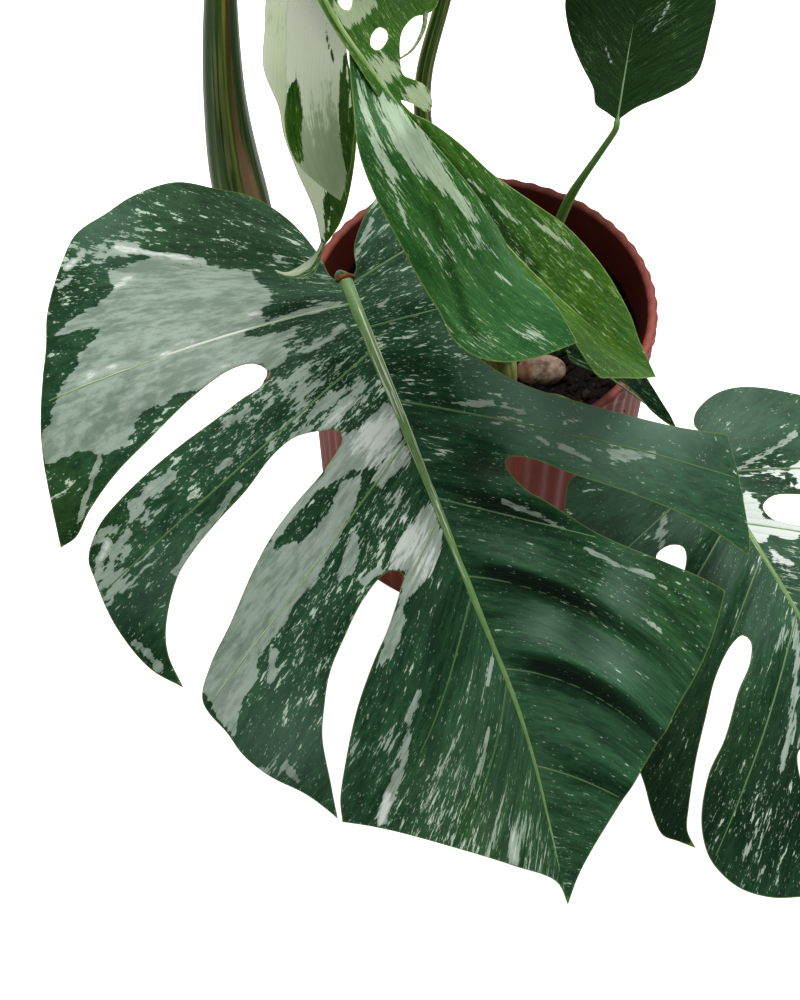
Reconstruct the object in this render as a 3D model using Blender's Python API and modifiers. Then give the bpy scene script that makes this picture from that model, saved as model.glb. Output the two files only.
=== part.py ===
"""Potted albo variegata monstera: fluted pot, soil, pebble, stem, petioles and split blades.

Metres, +Z up, origin at the middle of the pot's underside. Leaf shapes are given in millimetres.
"""
import math

import bmesh
import bpy
import numpy as np
from mathutils import Vector
from mathutils.geometry import delaunay_2d_cdt

MM = 0.001
GAP = 0.35 * MM

# Pot
POT_HEIGHT = 197 * MM
POT_TOP_RADIUS = 108.6 * MM
POT_BASE_RADIUS = 102 * MM
POT_WALL = 3.2 * MM
POT_FLOOR = 4 * MM
RIB_COUNT = 56
RIB_HEIGHT = 1.0 * MM
RIB_RISE = 12 * MM
RIM_BAND = 13 * MM
RIM_LIP = 1.0 * MM
RIM_WAVE = 0.35 * MM
CORNER = 2 * MM
EDGE = 1 * MM
STEPS_PER_RIB = 4

# Soil and pebble
SOIL_LEVEL = 165 * MM
SOIL_RINGS = 6
SOIL_SIDES = 42
PEBBLE_PLACE = (37 * MM, -32 * MM, 167 * MM)
PEBBLE_HALF_SIZE = (16.5 * MM, 12 * MM, 8.5 * MM)

# Leaves
BLADE_THICKNESS = 0.9 * MM
EDGE_STEP = 10.0
GRID_STEP = 15.0
PETIOLE_STEP = 14.0
STEM_STEP = 9.0
TANGENT_REACH = 25.0
ROOT_BLEND = 26.0
SEAT = 0.8
TIP_RUN = 9.0
SWELL_FADE = 30.0
FOOT_LEVEL = 142.0
SOIL_CLEAR_LEVEL = 172.0
HOLE_CLEARANCE = 0.6

# Rows of fold and curl are (share of the midrib's length, value), in degrees and in radians a
# metre. Veins are (start in mm along the midrib, mm gained along it for each mm across), and the
# blade swells between them. An outline is in mm: across the midrib, where + is the right-hand
# side looking from the petiole to the tip, then along it. A third value of 1 marks a sharp corner.
LEAF_A = {
    "midrib": [(-81, -77, 300), (-72, -101, 293), (-45, -158, 259), (-12, -225, 211),
               (18, -288, 167), (41, -369, 118)],
    "fold": [(0, 12), (1, 8)],
    "curl": [(0, 3), (1, 3)],
    "swell": 2.0,
    "veins_right": [(-30, -1.1), (0, -0.38), (15, 0.0), (44, 0.37), (96, 0.6), (142, 0.85),
                    (189, 1.15), (240, 1.3), (300, 1.4)],
    "veins_left": [(-25, -0.9), (4, -0.25), (31, 0.1), (73, 0.72), (134, 0.8), (176, 0.85),
                   (231, 0.8), (290, 0.9)],
    "outline": [
        (0, 0, 1), (7, -3), (10, -19), (17, -40), (26, -54), (36, -64), (53, -73), (73, -83),
        (99, -82), (115, -77), (135, -71), (148, -57), (164, -32), (171, -12), (183, 15),
        (192, 39), (197, 61), (201, 83, 1), (191, 81), (179, 71), (159, 59), (134, 49),
        (104, 38), (79, 32), (67, 33), (62, 38), (68, 44), (81, 47), (99, 52), (119, 57),
        (139, 63), (160, 71), (177, 80), (189, 94), (190, 105), (189, 132), (180, 161),
        (167, 177, 1), (168, 158), (164, 144), (149, 122), (136, 112), (118, 102), (97, 92),
        (77, 80), (62, 75), (49, 76), (39, 79), (37, 84), (52, 96), (75, 108), (93, 119),
        (110, 133), (132, 155), (149, 171), (160, 187), (154, 208), (151, 221), (142, 240),
        (127, 262), (113, 288, 1), (112, 266), (108, 230), (101, 214), (91, 198), (78, 185),
        (61, 170), (45, 161), (38, 161), (34, 165), (39, 173), (53, 189), (68, 203), (85, 222),
        (98, 244), (109, 274), (111, 291, 1), (92, 301), (59, 320), (26, 339), (3, 354),
        (0, 367, 1), (-11, 351), (-38, 323), (-81, 286), (-122, 258), (-143, 241, 1),
        (-134, 233), (-109, 212), (-81, 186), (-57, 157), (-48, 146), (-44, 131), (-47, 127),
        (-59, 132), (-78, 148), (-112, 174), (-145, 203), (-169, 231, 1), (-175, 224),
        (-185, 193), (-189, 162, 1), (-153, 146), (-104, 116), (-68, 89), (-53, 68), (-51, 53),
        (-48, 42), (-54, 37), (-69, 49), (-89, 62), (-108, 60), (-120, 44), (-119, 15),
        (-108, -16), (-89, -39), (-69, -51), (-47, -48), (-30, -40), (-19, -29), (-11, -17),
        (-7, -3)],
}
LEAF_B = {
    "midrib": [(136, -92, 152), (176, -165, 131), (222, -245, 96), (268, -335, 50)],
    "fold": [(0, 10), (1, 8)],
    "curl": [(0, 2.5), (1, 2.5)],
    "swell": 1.6,
    "veins_right": [(-15, -0.6), (8, 0.3), (36, 0.6), (68, 0.75), (108, 0.9), (160, 1.1),
                    (210, 1.3)],
    "veins_left": [(-15, -0.6), (8, 0.45), (45, 0.75), (90, 0.9), (140, 1.1), (190, 1.2)],
    "outline": [
        (0, 0, 1), (9, 1), (15, -12), (25, -22), (44, -25), (70, -24), (85, -23), (94, -13),
        (107, 9), (118, 38), (127, 74), (134, 118), (137, 152), (141, 174), (141, 189),
        (135, 196), (127, 205, 1), (127, 193), (120, 180), (104, 157), (86, 137), (69, 120),
        (50, 108), (40, 106), (38, 111), (46, 122), (61, 133), (83, 154), (101, 168),
        (117, 191), (122, 211), (120, 224), (113, 238), (99, 250), (80, 258), (54, 267, 1),
        (55, 246), (55, 221), (52, 193), (46, 181), (38, 180), (35, 201), (35, 236),
        (29, 265), (16, 282), (0, 296, 1), (-13, 282), (-30, 258), (-47, 234), (-52, 214, 1),
        (-44, 198), (-29, 175), (-20, 154), (-20, 137), (-32, 138), (-47, 158), (-67, 178),
        (-83, 187, 1), (-93, 165), (-100, 142), (-99, 121), (-82, 98), (-53, 79), (-30, 63),
        (-17, 51), (-16, 42), (-25, 39), (-41, 46), (-68, 61), (-97, 76), (-121, 82, 1),
        (-130, 63), (-126, 39), (-108, 12), (-77, -12), (-57, -27), (-43, -34), (-31, -36),
        (-19, -34), (-11, -30), (-7, -24), (-9, -14), (-10, 1)],
    "holes": [[(62, 42), (51, 40), (45, 44), (46, 50), (54, 59), (63, 62), (66, 53)]],
}
LEAF_C = {
    "midrib": [(-104, -30, 505), (-83, -57, 470), (-57, -71, 434), (-30, -86, 398),
               (13, -104, 346), (59, -113, 296), (93, -115, 262)],
    "fold_left": [(0, 5), (0.35, 5), (0.6, 18), (1, 22)],
    "fold_right": [(0, 0), (1, 0)],
    "curl_left": [(0, 1), (1, 1)],
    "curl_right": [(0, 2), (1, 2)],
    "outline": [
        (4, 0, 1), (-6, 0, 1), (-20, -8), (-45, -2), (-66, 18), (-77, 50), (-76, 76), (-62, 87),
        (-53, 86), (-43, 81), (-31, 81), (-21, 88), (-15, 96), (-18, 101), (-22, 108),
        (-22, 114), (-18, 119), (-13, 119, 1), (-9, 110), (-4, 104), (-5, 112), (-12, 125),
        (-18, 144), (-22, 170), (-29, 198), (-36, 230), (-34, 267), (-23, 297), (-12, 311),
        (0, 330, 1), (12, 316), (27, 291), (28, 277), (20, 265), (17, 243), (13, 211),
        (10, 167), (7, 122), (7, 90), (4, 62)],
    "holes": [[(-20, 69), (-23, 74), (-21, 77), (-14, 78), (-10, 76), (-9, 73), (-13, 69)],
              [(-6, 43), (-10, 40), (-14, 46), (-10, 50), (-7, 48)]],
}
# Lobes of leaf C that hang from its midrib; root is where they join it, in mm along it.
LOBES_C = [
    {"midrib": [(-73, -61, 458), (-57, -97, 434), (-30, -122, 399), (1, -144, 363),
                (42, -153, 334)],
     "fold_left": [(0, 5), (1, 5)], "fold_right": [(0, -5), (1, -5)],
     "curl_left": [(0, 3), (1, 3)], "curl_right": [(0, 4), (1, 4)],
     "root": (91, 62),
     "outline": [(-7, 30, 1), (-16, 54), (-22, 75), (-26, 95), (-28, 111), (-31, 137),
                 (-32, 154), (-25, 168), (-16, 182), (-1, 200, 1), (11, 189), (23, 177),
                 (33, 164), (38, 153), (38, 143), (33, 132), (29, 104), (24, 70), (18, 48),
                 (11, 30), (5, 2, 1)]},
    {"midrib": [(-98, -41, 494), (-104, -50, 437), (-102, -63, 386), (-93, -81, 330)],
     "fold": [(0, 0), (1, 0)], "curl": [(0, 8), (1, 8)],
     "root": (12, 32),
     "outline": [(4, -8, 1), (21, 25), (18, 48), (17, 64), (10, 84), (9, 99), (5, 121),
                 (0, 147), (0, 170, 1), (-14, 159), (-27, 135), (-32, 109), (-27, 72),
                 (-22, 29), (-10, 12, 1)]},
    {"midrib": [(-87, -55, 477), (-92, -64, 443), (-91, -74, 408), (-82, -86, 372)],
     "fold": [(0, 0), (1, 0)], "curl": [(0, 8), (1, 8)],
     "root": (36, 60),
     "outline": [(7, -10, 1), (22, 2), (18, 30), (16, 51), (18, 61), (17, 80), (6, 102),
                 (0, 111, 1), (-12, 96), (-19, 77), (-18, 53), (-16, 26), (-15, 10, 1)]},
    {"midrib": [(-92.5, -80, 334), (-95, -84, 329), (-98, -88, 326), (-102, -92, 325),
                (-108, -95, 325), (-113, -97, 327), (-118, -98, 331)],
     "fold": [(0, 0), (1, 0)], "curl": [(0, 12), (1, 12)],
     "outline": [(1.4, 0, 1), (1.8, 5), (3, 11), (4.4, 17), (3.6, 23), (2, 29), (1.6, 33),
                 (1, 37, 1), (-1, 36.5, 1), (-2.4, 31), (-4, 25), (-5.5, 18), (-4, 12),
                 (-2, 6), (-1.4, 0, 1)]},
]
LEAF_E = {
    "midrib": [(76, 32, 318), (84, 76, 325), (93, 124, 330), (101, 192, 318)],
    "fold": [(0, 10), (1, 10)],
    "curl": [(0, 4), (1, 4)],
    "outline": [(0, 0, 1), (-7, 4), (-14, 8), (-17, 19), (-27, 36), (-36, 55), (-43, 82),
                (-39, 118), (-22, 152), (0, 185, 1), (21, 158), (41, 128), (47, 100), (46, 73),
                (43, 41), (38, 31), (24, 19), (10, 10)],
}
LEAF_G = {
    "midrib": [(49, -56, 215), (67, -77, 222), (93, -95, 214), (112, -104, 202)],
    "fold": [(0, 8), (1, 8)],
    "curl": [(0, 6), (1, 6)],
    "outline": [(0, 0, 1), (6, 11), (4, 25), (1, 34), (-2, 43), (-1, 57), (2, 68), (2, 80),
                (0, 86, 1), (-4, 79), (-8, 69), (-12, 60), (-18, 44), (-20, 23), (-16, 4),
                (-8, -3)],
}
# Leaf H is a smaller sister of leaf A, turned over its midrib.
LEAF_H_SHARE = 0.72
LEAF_H = {
    "midrib": [(8, 138, 498), (30, 190, 492), (60, 245, 460), (85, 300, 405), (98, 345, 345)],
    "fold": LEAF_A["fold"],
    "curl": LEAF_A["curl"],
    "swell": LEAF_A["swell"] * LEAF_H_SHARE,
    "veins_right": [(LEAF_H_SHARE * start, lean) for start, lean in LEAF_A["veins_left"]],
    "veins_left": [(LEAF_H_SHARE * start, lean) for start, lean in LEAF_A["veins_right"]],
    "outline": [(-LEAF_H_SHARE * p[0], LEAF_H_SHARE * p[1], *p[2:]) for p in LEAF_A["outline"]],
}

# Petioles: path in mm from the soil to just short of the blade, with the radius at each point.
# side is -1 where the petiole meets the blade from below and +1 from above.
PETIOLES = {
    "petiole_a": {"leaf": LEAF_A, "side": -1, "tip_radius": 3.4,
                  "path": [((-16, -30, FOOT_LEVEL), 6.5), ((-16, -30, 170), 6.5), ((-30, -34, 205), 5.2),
                           ((-58, -44, 242), 4.2), ((-76, -58, 276), 3.8)]},
    "petiole_b": {"leaf": LEAF_B, "side": 1, "tip_radius": 3.0,
                  "path": [((30, -64, FOOT_LEVEL), 6.0), ((30, -64, 170), 6.0), ((42, -80, 196), 4.8),
                           ((60, -100, 208), 3.9), ((84, -109, 205), 3.5),
                           ((106, -103, 192), 3.3), ((122, -93, 176), 3.2)]},
    "petiole_c": {"leaf": LEAF_C, "side": -1, "tip_radius": 3.6,
                  "path": [((-28, -8, FOOT_LEVEL), 11), ((-28, -8, 172), 11), ((-48, -14, 198), 11),
                           ((-82, -20, 214), 11.5), ((-112, -18, 229), 13), ((-136, -8, 257), 15),
                           ((-144, 0, 292), 15.5), ((-148, 2, 360), 11.8), ((-145, 0, 434), 8.6),
                           ((-141, -6, 470), 6.4), ((-130, -16, 488), 4.8)]},
    "petiole_e": {"leaf": LEAF_E, "side": -1, "tip_radius": 1.9,
                  "path": [((28, 38, FOOT_LEVEL), 5.2), ((28, 38, 170), 5.2), ((46, 38, 233), 4.6),
                           ((57, 38, 258), 4.0), ((60, 37, 267), 2.4), ((70, 35, 293), 2.0)]},
    "petiole_g": {"leaf": LEAF_G, "side": -1, "tip_radius": 1.7,
                  "path": [((24, 14, FOOT_LEVEL), 3.2), ((24, 14, 170), 3.0), ((33, -18, 200), 2.2),
                           ((41, -42, 206), 1.8)]},
    "petiole_h": {"leaf": LEAF_H, "side": -1, "tip_radius": 3.4,
                  "path": [((-5, 16, FOOT_LEVEL), 7.5), ((-5, 16, 170), 7.5), ((-22, 26, 230), 6.2),
                           ((-36, 38, 300), 5.2), ((-37, 47, 337), 4.8), ((-26, 66, 379), 4.4),
                           ((-8, 98, 440), 4.0), ((-1, 118, 470), 3.8)]},
}
STEM_PATH = [((12, -38, FOOT_LEVEL), 10.0), ((12, -38, 170), 10.0), ((10, -39, 190), 9.4),
             ((8, -42, 206), 10.4), ((5, -42, 222), 8.6), ((3, -41, 236), 5.0)]

COLOURS = {
    "pot": ((0.24, 0.062, 0.045), 0.55),
    "soil": ((0.012, 0.008, 0.006), 0.95),
    "pebble": ((0.28, 0.17, 0.13), 0.7),
    "stem": ((0.16, 0.20, 0.06), 0.5),
    "petiole": ((0.09, 0.14, 0.035), 0.45),
    "blade": ((0.03, 0.09, 0.04), 0.38),
    "blade_pale": ((0.10, 0.20, 0.06), 0.38),
}


def clear_scene():
    for thing in list(bpy.data.objects):
        bpy.data.objects.remove(thing, do_unlink=True)


def new_collection(name):
    collection = bpy.data.collections.new(name)
    bpy.context.scene.collection.children.link(collection)
    return collection


def material(name):
    colour, roughness = COLOURS[name]
    made = bpy.data.materials.get(name)
    if made:
        return made
    made = bpy.data.materials.new(name)
    made.use_nodes = True
    shader = made.node_tree.nodes["Principled BSDF"]
    shader.inputs["Base Color"].default_value = (*colour, 1.0)
    shader.inputs["Roughness"].default_value = roughness
    shader.inputs["Metallic"].default_value = 0.0
    return made


def add_object(name, data, collection, look=None):
    thing = bpy.data.objects.new(name, data)
    collection.objects.link(thing)
    if look:
        data.materials.append(material(look))
    return thing


def mesh_of(thing):
    """Plain mesh of an object with its modifiers applied."""
    graph = bpy.context.evaluated_depsgraph_get()
    return bpy.data.meshes.new_from_object(thing.evaluated_get(graph))


def shade(mesh, angle):
    mesh.shade_smooth()
    mesh.set_sharp_from_angle(angle=math.radians(angle))


def boolean(target, operation, other, solver="EXACT"):
    """Apply one Boolean with a collection of objects, then remove those objects."""
    cut = target.modifiers.new("boolean", "BOOLEAN")
    cut.operation = operation
    cut.operand_type = "COLLECTION"
    cut.collection = other
    cut.solver = solver
    bpy.context.view_layer.update()
    result = mesh_of(target)
    target.modifiers.clear()
    target.data = result
    for thing in list(other.objects):
        bpy.data.objects.remove(thing, do_unlink=True)
    bpy.data.collections.remove(other)


def curve_through(points, step):
    """Smooth open curve through the points, sampled about once a step."""
    pts = np.array(points, float)
    ends = [2 * pts[0] - pts[1], 2 * pts[-1] - pts[-2]]
    ext = np.vstack([ends[0], pts, ends[1]])
    samples = [pts[0]]
    for a, b, c, d in zip(ext[:-3], ext[1:-2], ext[2:-1], ext[3:]):
        tb = math.sqrt(np.linalg.norm(b - a))
        tc = tb + math.sqrt(np.linalg.norm(c - b))
        td = tc + math.sqrt(np.linalg.norm(d - c))
        count = max(1, round(np.linalg.norm(c - b) / step))
        for t in np.linspace(tb, tc, count + 1)[1:]:
            ab = a + (b - a) * t / tb
            bc = b + (c - b) * (t - tb) / (tc - tb)
            cd = c + (d - c) * (t - tc) / (td - tc)
            abc = ab + (bc - ab) * t / tc
            bcd = bc + (cd - bc) * (t - tb) / (td - tb)
            samples.append(abc + (bcd - abc) * (t - tb) / (tc - tb))
    return np.array(samples)


def outline_loop(points, step):
    """Closed loop of smooth stretches between the sharp corners."""
    corners = [i for i, p in enumerate(points) if len(p) > 2]
    if not corners:
        around = points[-2:] + points + points[:2]
        dense = curve_through(around, step)
        first = np.argmin(np.linalg.norm(dense - points[0], axis=1))
        last = len(dense) - 1 - np.argmin(np.linalg.norm(dense[::-1] - points[0], axis=1))
        if last == first:
            last = first + np.argmin(np.linalg.norm(dense[first + 4:] - points[0], axis=1)) + 4
        return dense[first:last]
    start = corners[0]
    ring = points[start:] + points[:start] + [points[start]]
    stops = [i for i, p in enumerate(ring) if len(p) > 2]
    loop = []
    for i, j in zip(stops, stops[1:]):
        loop.extend(curve_through([p[:2] for p in ring[i:j + 1]], step)[:-1])
    return np.array(loop)


class Surface:
    """Bent surface of a blade: a midrib curve with a folded and curled side on each hand."""

    def __init__(self, leaf):
        self.curve = curve_through(leaf["midrib"], 2.0)
        steps = np.linalg.norm(np.diff(self.curve, axis=0), axis=1)
        self.along = np.concatenate([[0], np.cumsum(steps)])
        self.length = self.along[-1]
        ahead = self.point(self.along + TANGENT_REACH)
        behind = self.point(self.along - TANGENT_REACH)
        self.tangent = ahead - behind
        self.tangent /= np.linalg.norm(self.tangent, axis=1)[:, None]
        self.folds = [leaf.get("fold_left") or leaf["fold"], leaf.get("fold_right") or leaf["fold"]]
        self.curls = [leaf.get("curl_left") or leaf["curl"], leaf.get("curl_right") or leaf["curl"]]
        self.swell = leaf.get("swell", 0)
        self.veins = [leaf.get("veins_left"), leaf.get("veins_right")]

    def read(self, values, s):
        return np.stack([np.interp(s, self.along, values[:, i]) for i in range(3)], -1)

    def point(self, s):
        return self.read(self.curve, s)

    def frame(self, s):
        inside = np.clip(s, 0, self.length)
        forward = self.read(self.tangent, inside)
        forward /= np.linalg.norm(forward, axis=-1)[..., None]
        middle = self.point(inside) + forward * (s - inside)[..., None]
        across = np.cross(forward, [0, 0, 1.0])
        across /= np.linalg.norm(across, axis=-1)[..., None]
        return middle, forward, across, np.cross(across, forward)

    def share(self, rows, s):
        rows = np.array(rows, float)
        return np.interp(s / self.length, rows[:, 0], rows[:, 1])

    def swelling(self, u, s):
        """Height of the blade between its veins, in mm, fading in away from the midrib."""
        out = np.abs(u)
        height = np.zeros(u.shape)
        for side, veins in zip((u <= 0, u > 0), self.veins):
            starts = np.array([start + lean * out for start, lean in veins])
            for low, high in zip(starts[:-1], starts[1:]):
                between = side & (s > low) & (s <= high)
                phase = (s - low) / np.where(between, high - low, 1)
                height = np.where(between, np.sin(np.pi * phase) ** 2, height)
        return self.swell * height * np.clip(out / SWELL_FADE, 0, 1)

    def at(self, u, s):
        """World points, in mm, of places u across and s along the midrib."""
        middle, _, across, up = self.frame(s)
        right = u > 0
        fold = np.radians(np.where(right, self.share(self.folds[1], s), self.share(self.folds[0], s)))
        curl = np.where(right, self.share(self.curls[1], s), self.share(self.curls[0], s)) * MM
        out = np.abs(u)
        width = (np.sin(fold) - np.sin(fold - curl * out)) / curl
        rise = (np.cos(fold - curl * out) - np.cos(fold)) / curl
        width = np.where(right, width, -width)
        if self.swell:
            rise = rise + self.swelling(u, s)
        return middle + across * width[..., None] + up * rise[..., None]


def inside_loop(points, loop):
    """True for each point that lies inside the closed loop."""
    x, y = points[:, 0:1], points[:, 1:2]
    ax, ay = loop[:, 0], loop[:, 1]
    bx, by = np.roll(ax, -1), np.roll(ay, -1)
    crosses = (ay > y) != (by > y)
    rise = np.where(by == ay, 1e-9, by - ay)
    return (crosses & (x < (bx - ax) * (y - ay) / rise + ax)).sum(axis=1) % 2 == 1


def blade_grid(loops, spacing):
    """Points inside the blade on a triangular grid with a row on the midrib."""
    outer = loops[0]
    low, high = outer.min(axis=0), outer.max(axis=0)
    points = []
    row_height = spacing * math.sqrt(3) / 2
    for column in range(math.floor(low[0] / row_height), math.ceil(high[0] / row_height) + 1):
        shift = spacing / 2 if column % 2 else 0
        for row in range(math.floor(low[1] / spacing), math.ceil(high[1] / spacing) + 1):
            points.append((column * row_height, row * spacing + shift))
    points = np.array(points)
    keep = inside_loop(points, outer)
    for hole in loops[1:]:
        keep &= ~inside_loop(points, hole)
    edge = np.vstack(loops)
    far = np.min(np.linalg.norm(points[:, None] - edge[None], axis=2), axis=1) > 0.55 * spacing
    return points[keep & far]


def flat_blade(leaf):
    """Triangles of the blade laid flat: points across and along, and faces."""
    loops = [outline_loop(leaf["outline"], EDGE_STEP)]
    for hole in leaf.get("holes", []):
        loops.append(outline_loop(hole, EDGE_STEP / 2))
    points = []
    edges = []
    for loop in loops:
        start = len(points)
        points.extend(loop)
        edges.extend((start + i, start + (i + 1) % len(loop)) for i in range(len(loop)))
    points.extend(blade_grid(loops, GRID_STEP))
    placed = delaunay_2d_cdt([Vector(p) for p in points], edges, [], 0, 1e-4)
    flat = np.array([v[:] for v in placed[0]])
    middles = np.array([flat[list(face)].mean(axis=0) for face in placed[2]])
    keep = inside_loop(middles, loops[0])
    for hole in loops[1:]:
        keep &= ~inside_loop(middles, hole)
    return flat, [tuple(face) for face, kept in zip(placed[2], keep) if kept]


def rooted(points, flat, lobe, lobe_surface, midrib):
    """Bend a lobe's root on to the midrib that it grows from."""
    first = np.array(lobe["outline"][0][:2], float)
    last = np.array(lobe["outline"][-1][:2], float)
    root = last - first
    share = np.clip((flat - first) @ root / (root @ root), 0, 1)
    nearest = first + share[:, None] * root
    start, stop = lobe["root"]
    seat = midrib.point(start + share * (stop - start))
    shift = seat - lobe_surface.at(nearest[:, 0], nearest[:, 1])
    near = np.clip(1 - np.linalg.norm(flat - nearest, axis=1) / ROOT_BLEND, 0, 1)
    weight = near * near * (3 - 2 * near)
    return points + shift * weight[:, None]


def sheet(name, leaf, collection, look, midrib=None):
    """One blade or lobe: its flat triangles bent on to its surface and thickened."""
    surface = Surface(leaf)
    flat, faces = flat_blade(leaf)
    points = surface.at(flat[:, 0], flat[:, 1])
    if "root" in leaf:
        points = rooted(points, flat, leaf, surface, midrib)
    mesh = bpy.data.meshes.new(name)
    mesh.from_pydata((points * MM).tolist(), [], faces)
    mesh.update()
    thing = add_object(name, mesh, collection, look)
    wall = thing.modifiers.new("thickness", "SOLIDIFY")
    wall.thickness = BLADE_THICKNESS
    wall.offset = 0
    return thing


def tube(name, points, radii, collection, look, roundness=1):
    """Tube through the points, in mm, with a radius at each."""
    data = bpy.data.curves.new(name, "CURVE")
    data.dimensions = "3D"
    data.bevel_depth = MM
    data.bevel_resolution = roundness
    data.use_fill_caps = True
    path = data.splines.new("POLY")
    path.points.add(len(points) - 1)
    for spot, place, radius in zip(path.points, points, radii):
        spot.co = (*(np.array(place) * MM), 1)
        spot.radius = radius
    return add_object(name, data, collection, look)


def solid_tube(name, points, radii, collection, look, roundness=1):
    """Tube as one welded mesh, for a Boolean."""
    curve = tube(name + "_curve", points, radii, collection, None, roundness)
    mesh = mesh_of(curve)
    bpy.data.objects.remove(curve, do_unlink=True)
    work = bmesh.new()
    work.from_mesh(mesh)
    bmesh.ops.remove_doubles(work, verts=work.verts, dist=1e-6)
    bmesh.ops.recalc_face_normals(work, faces=work.faces)
    work.to_mesh(mesh)
    work.free()
    return add_object(name, mesh, collection, look)


def stalk_points(path, step):
    """Smooth stalk with radii, upright and straight where it stands in the soil."""
    smooth = curve_through([(*place, radius) for place, radius in path], step)
    buried = np.argmax(smooth[:, 2] >= SOIL_CLEAR_LEVEL)
    smooth[:buried, :2] = path[0][0][:2]
    return smooth


def petiole(name, spec, collection):
    """Leaf stalk from the soil to a seat just off the blade's notch."""
    surface = Surface(spec["leaf"])
    middle, forward, _, up = (row[0] for row in surface.frame(np.array([0.0])))
    aim = forward - spec["side"] * up
    aim /= np.linalg.norm(aim)
    end = middle + SEAT * (spec["side"] * up - forward)
    tip = [(end - TIP_RUN * aim, spec["tip_radius"]), (end, spec["tip_radius"])]
    smooth = stalk_points(spec["path"] + tip, PETIOLE_STEP)
    return tube(name, smooth[:, :3], smooth[:, 3], collection, "petiole", 2)


def arching_leaf(name, collection):
    """Leaf C: the far half and tip, three lobes that hang from the midrib, and the midrib."""
    surface = Surface(LEAF_C)
    pieces = new_collection("arching_leaf_pieces")
    blade = sheet(name, LEAF_C, collection, "blade_pale")
    for number, lobe in enumerate(LOBES_C):
        sheet(f"lobe_{number}", lobe, pieces, "blade_pale", surface)
    stops = np.linspace(6, surface.length - 20, 24)
    widths = np.interp(stops, [0, 100, surface.length], [2.6, 2.2, 1.1])
    solid_tube("midrib", surface.point(stops), widths, pieces, "blade_pale", 1)
    boolean(blade, "UNION", pieces)
    return blade


def pot(collection):
    """Turned pot whose outer wall is fluted and whose rim is waved."""
    slope = (POT_TOP_RADIUS - POT_BASE_RADIUS) / POT_HEIGHT
    band = POT_HEIGHT - RIM_BAND

    def outer(z):
        return POT_BASE_RADIUS + slope * z

    inner_top = outer(POT_HEIGHT) - POT_WALL
    inner_low = outer(POT_FLOOR) - POT_WALL
    profile = [
        (0, 0), (outer(0) - CORNER, 0), (outer(0), CORNER), (outer(band), band),
        (outer(band) + RIM_LIP, band + CORNER), (outer(POT_HEIGHT) + RIM_LIP, POT_HEIGHT - EDGE),
        (outer(POT_HEIGHT), POT_HEIGHT), (inner_top + EDGE, POT_HEIGHT),
        (inner_top, POT_HEIGHT - EDGE), (inner_low, POT_FLOOR), (0, POT_FLOOR)]
    profile.reverse()
    mesh = bpy.data.meshes.new("pot_profile")
    mesh.from_pydata([(x, 0, z) for x, z in profile], [(i, i + 1) for i in range(len(profile) - 1)], [])
    turned = add_object("pot_profile", mesh, collection)
    screw = turned.modifiers.new("turn", "SCREW")
    screw.steps = RIB_COUNT * STEPS_PER_RIB
    screw.render_steps = screw.steps
    screw.use_merge_vertices = True
    screw.merge_threshold = 1e-5
    screw.use_normal_calculate = True
    body = mesh_of(turned)
    bpy.data.objects.remove(turned, do_unlink=True)
    for spot in body.vertices:
        x, y, z = spot.co
        radius = math.hypot(x, y)
        wave = math.cos(RIB_COUNT * math.atan2(y, x))
        if z > 0 and radius > outer(z) - EDGE / 2:
            scale = (radius + RIB_HEIGHT * wave * min(1, z / RIB_RISE)) / radius
            spot.co.x = x * scale
            spot.co.y = y * scale
        if z > POT_HEIGHT - 1.5 * EDGE:
            spot.co.z = z + RIM_WAVE * (wave - 1)
    shade(body, 50)
    body.name = "pot"
    return add_object("pot", body, collection, "pot")


def soil_height(x, y):
    """Low bumps of the potting mix, a little higher at the middle."""
    bumps = math.sin(x * 210 + 1.3) * math.cos(y * 170 - 0.4) + 0.6 * math.sin(x * 95 - y * 140)
    return SOIL_LEVEL + 1.4 * MM * bumps - 0.16 * (x * x + y * y)


def pebble_mesh(name, grow=0.0):
    """Rounded pebble, a squashed ball with a dented side; grow widens it all round."""
    work = bmesh.new()
    bmesh.ops.create_icosphere(work, subdivisions=3, radius=1)
    for spot in work.verts:
        x, y, z = spot.co
        swell = 1 + 0.07 * math.sin(2.1 * x + 1.1) * math.cos(2.6 * y) - 0.06 * math.cos(3 * z + x)
        for axis in range(3):
            half = PEBBLE_HALF_SIZE[axis] * swell + grow
            spot.co[axis] = spot.co[axis] * half + PEBBLE_PLACE[axis]
    mesh = bpy.data.meshes.new(name)
    work.to_mesh(mesh)
    work.free()
    return mesh


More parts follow.
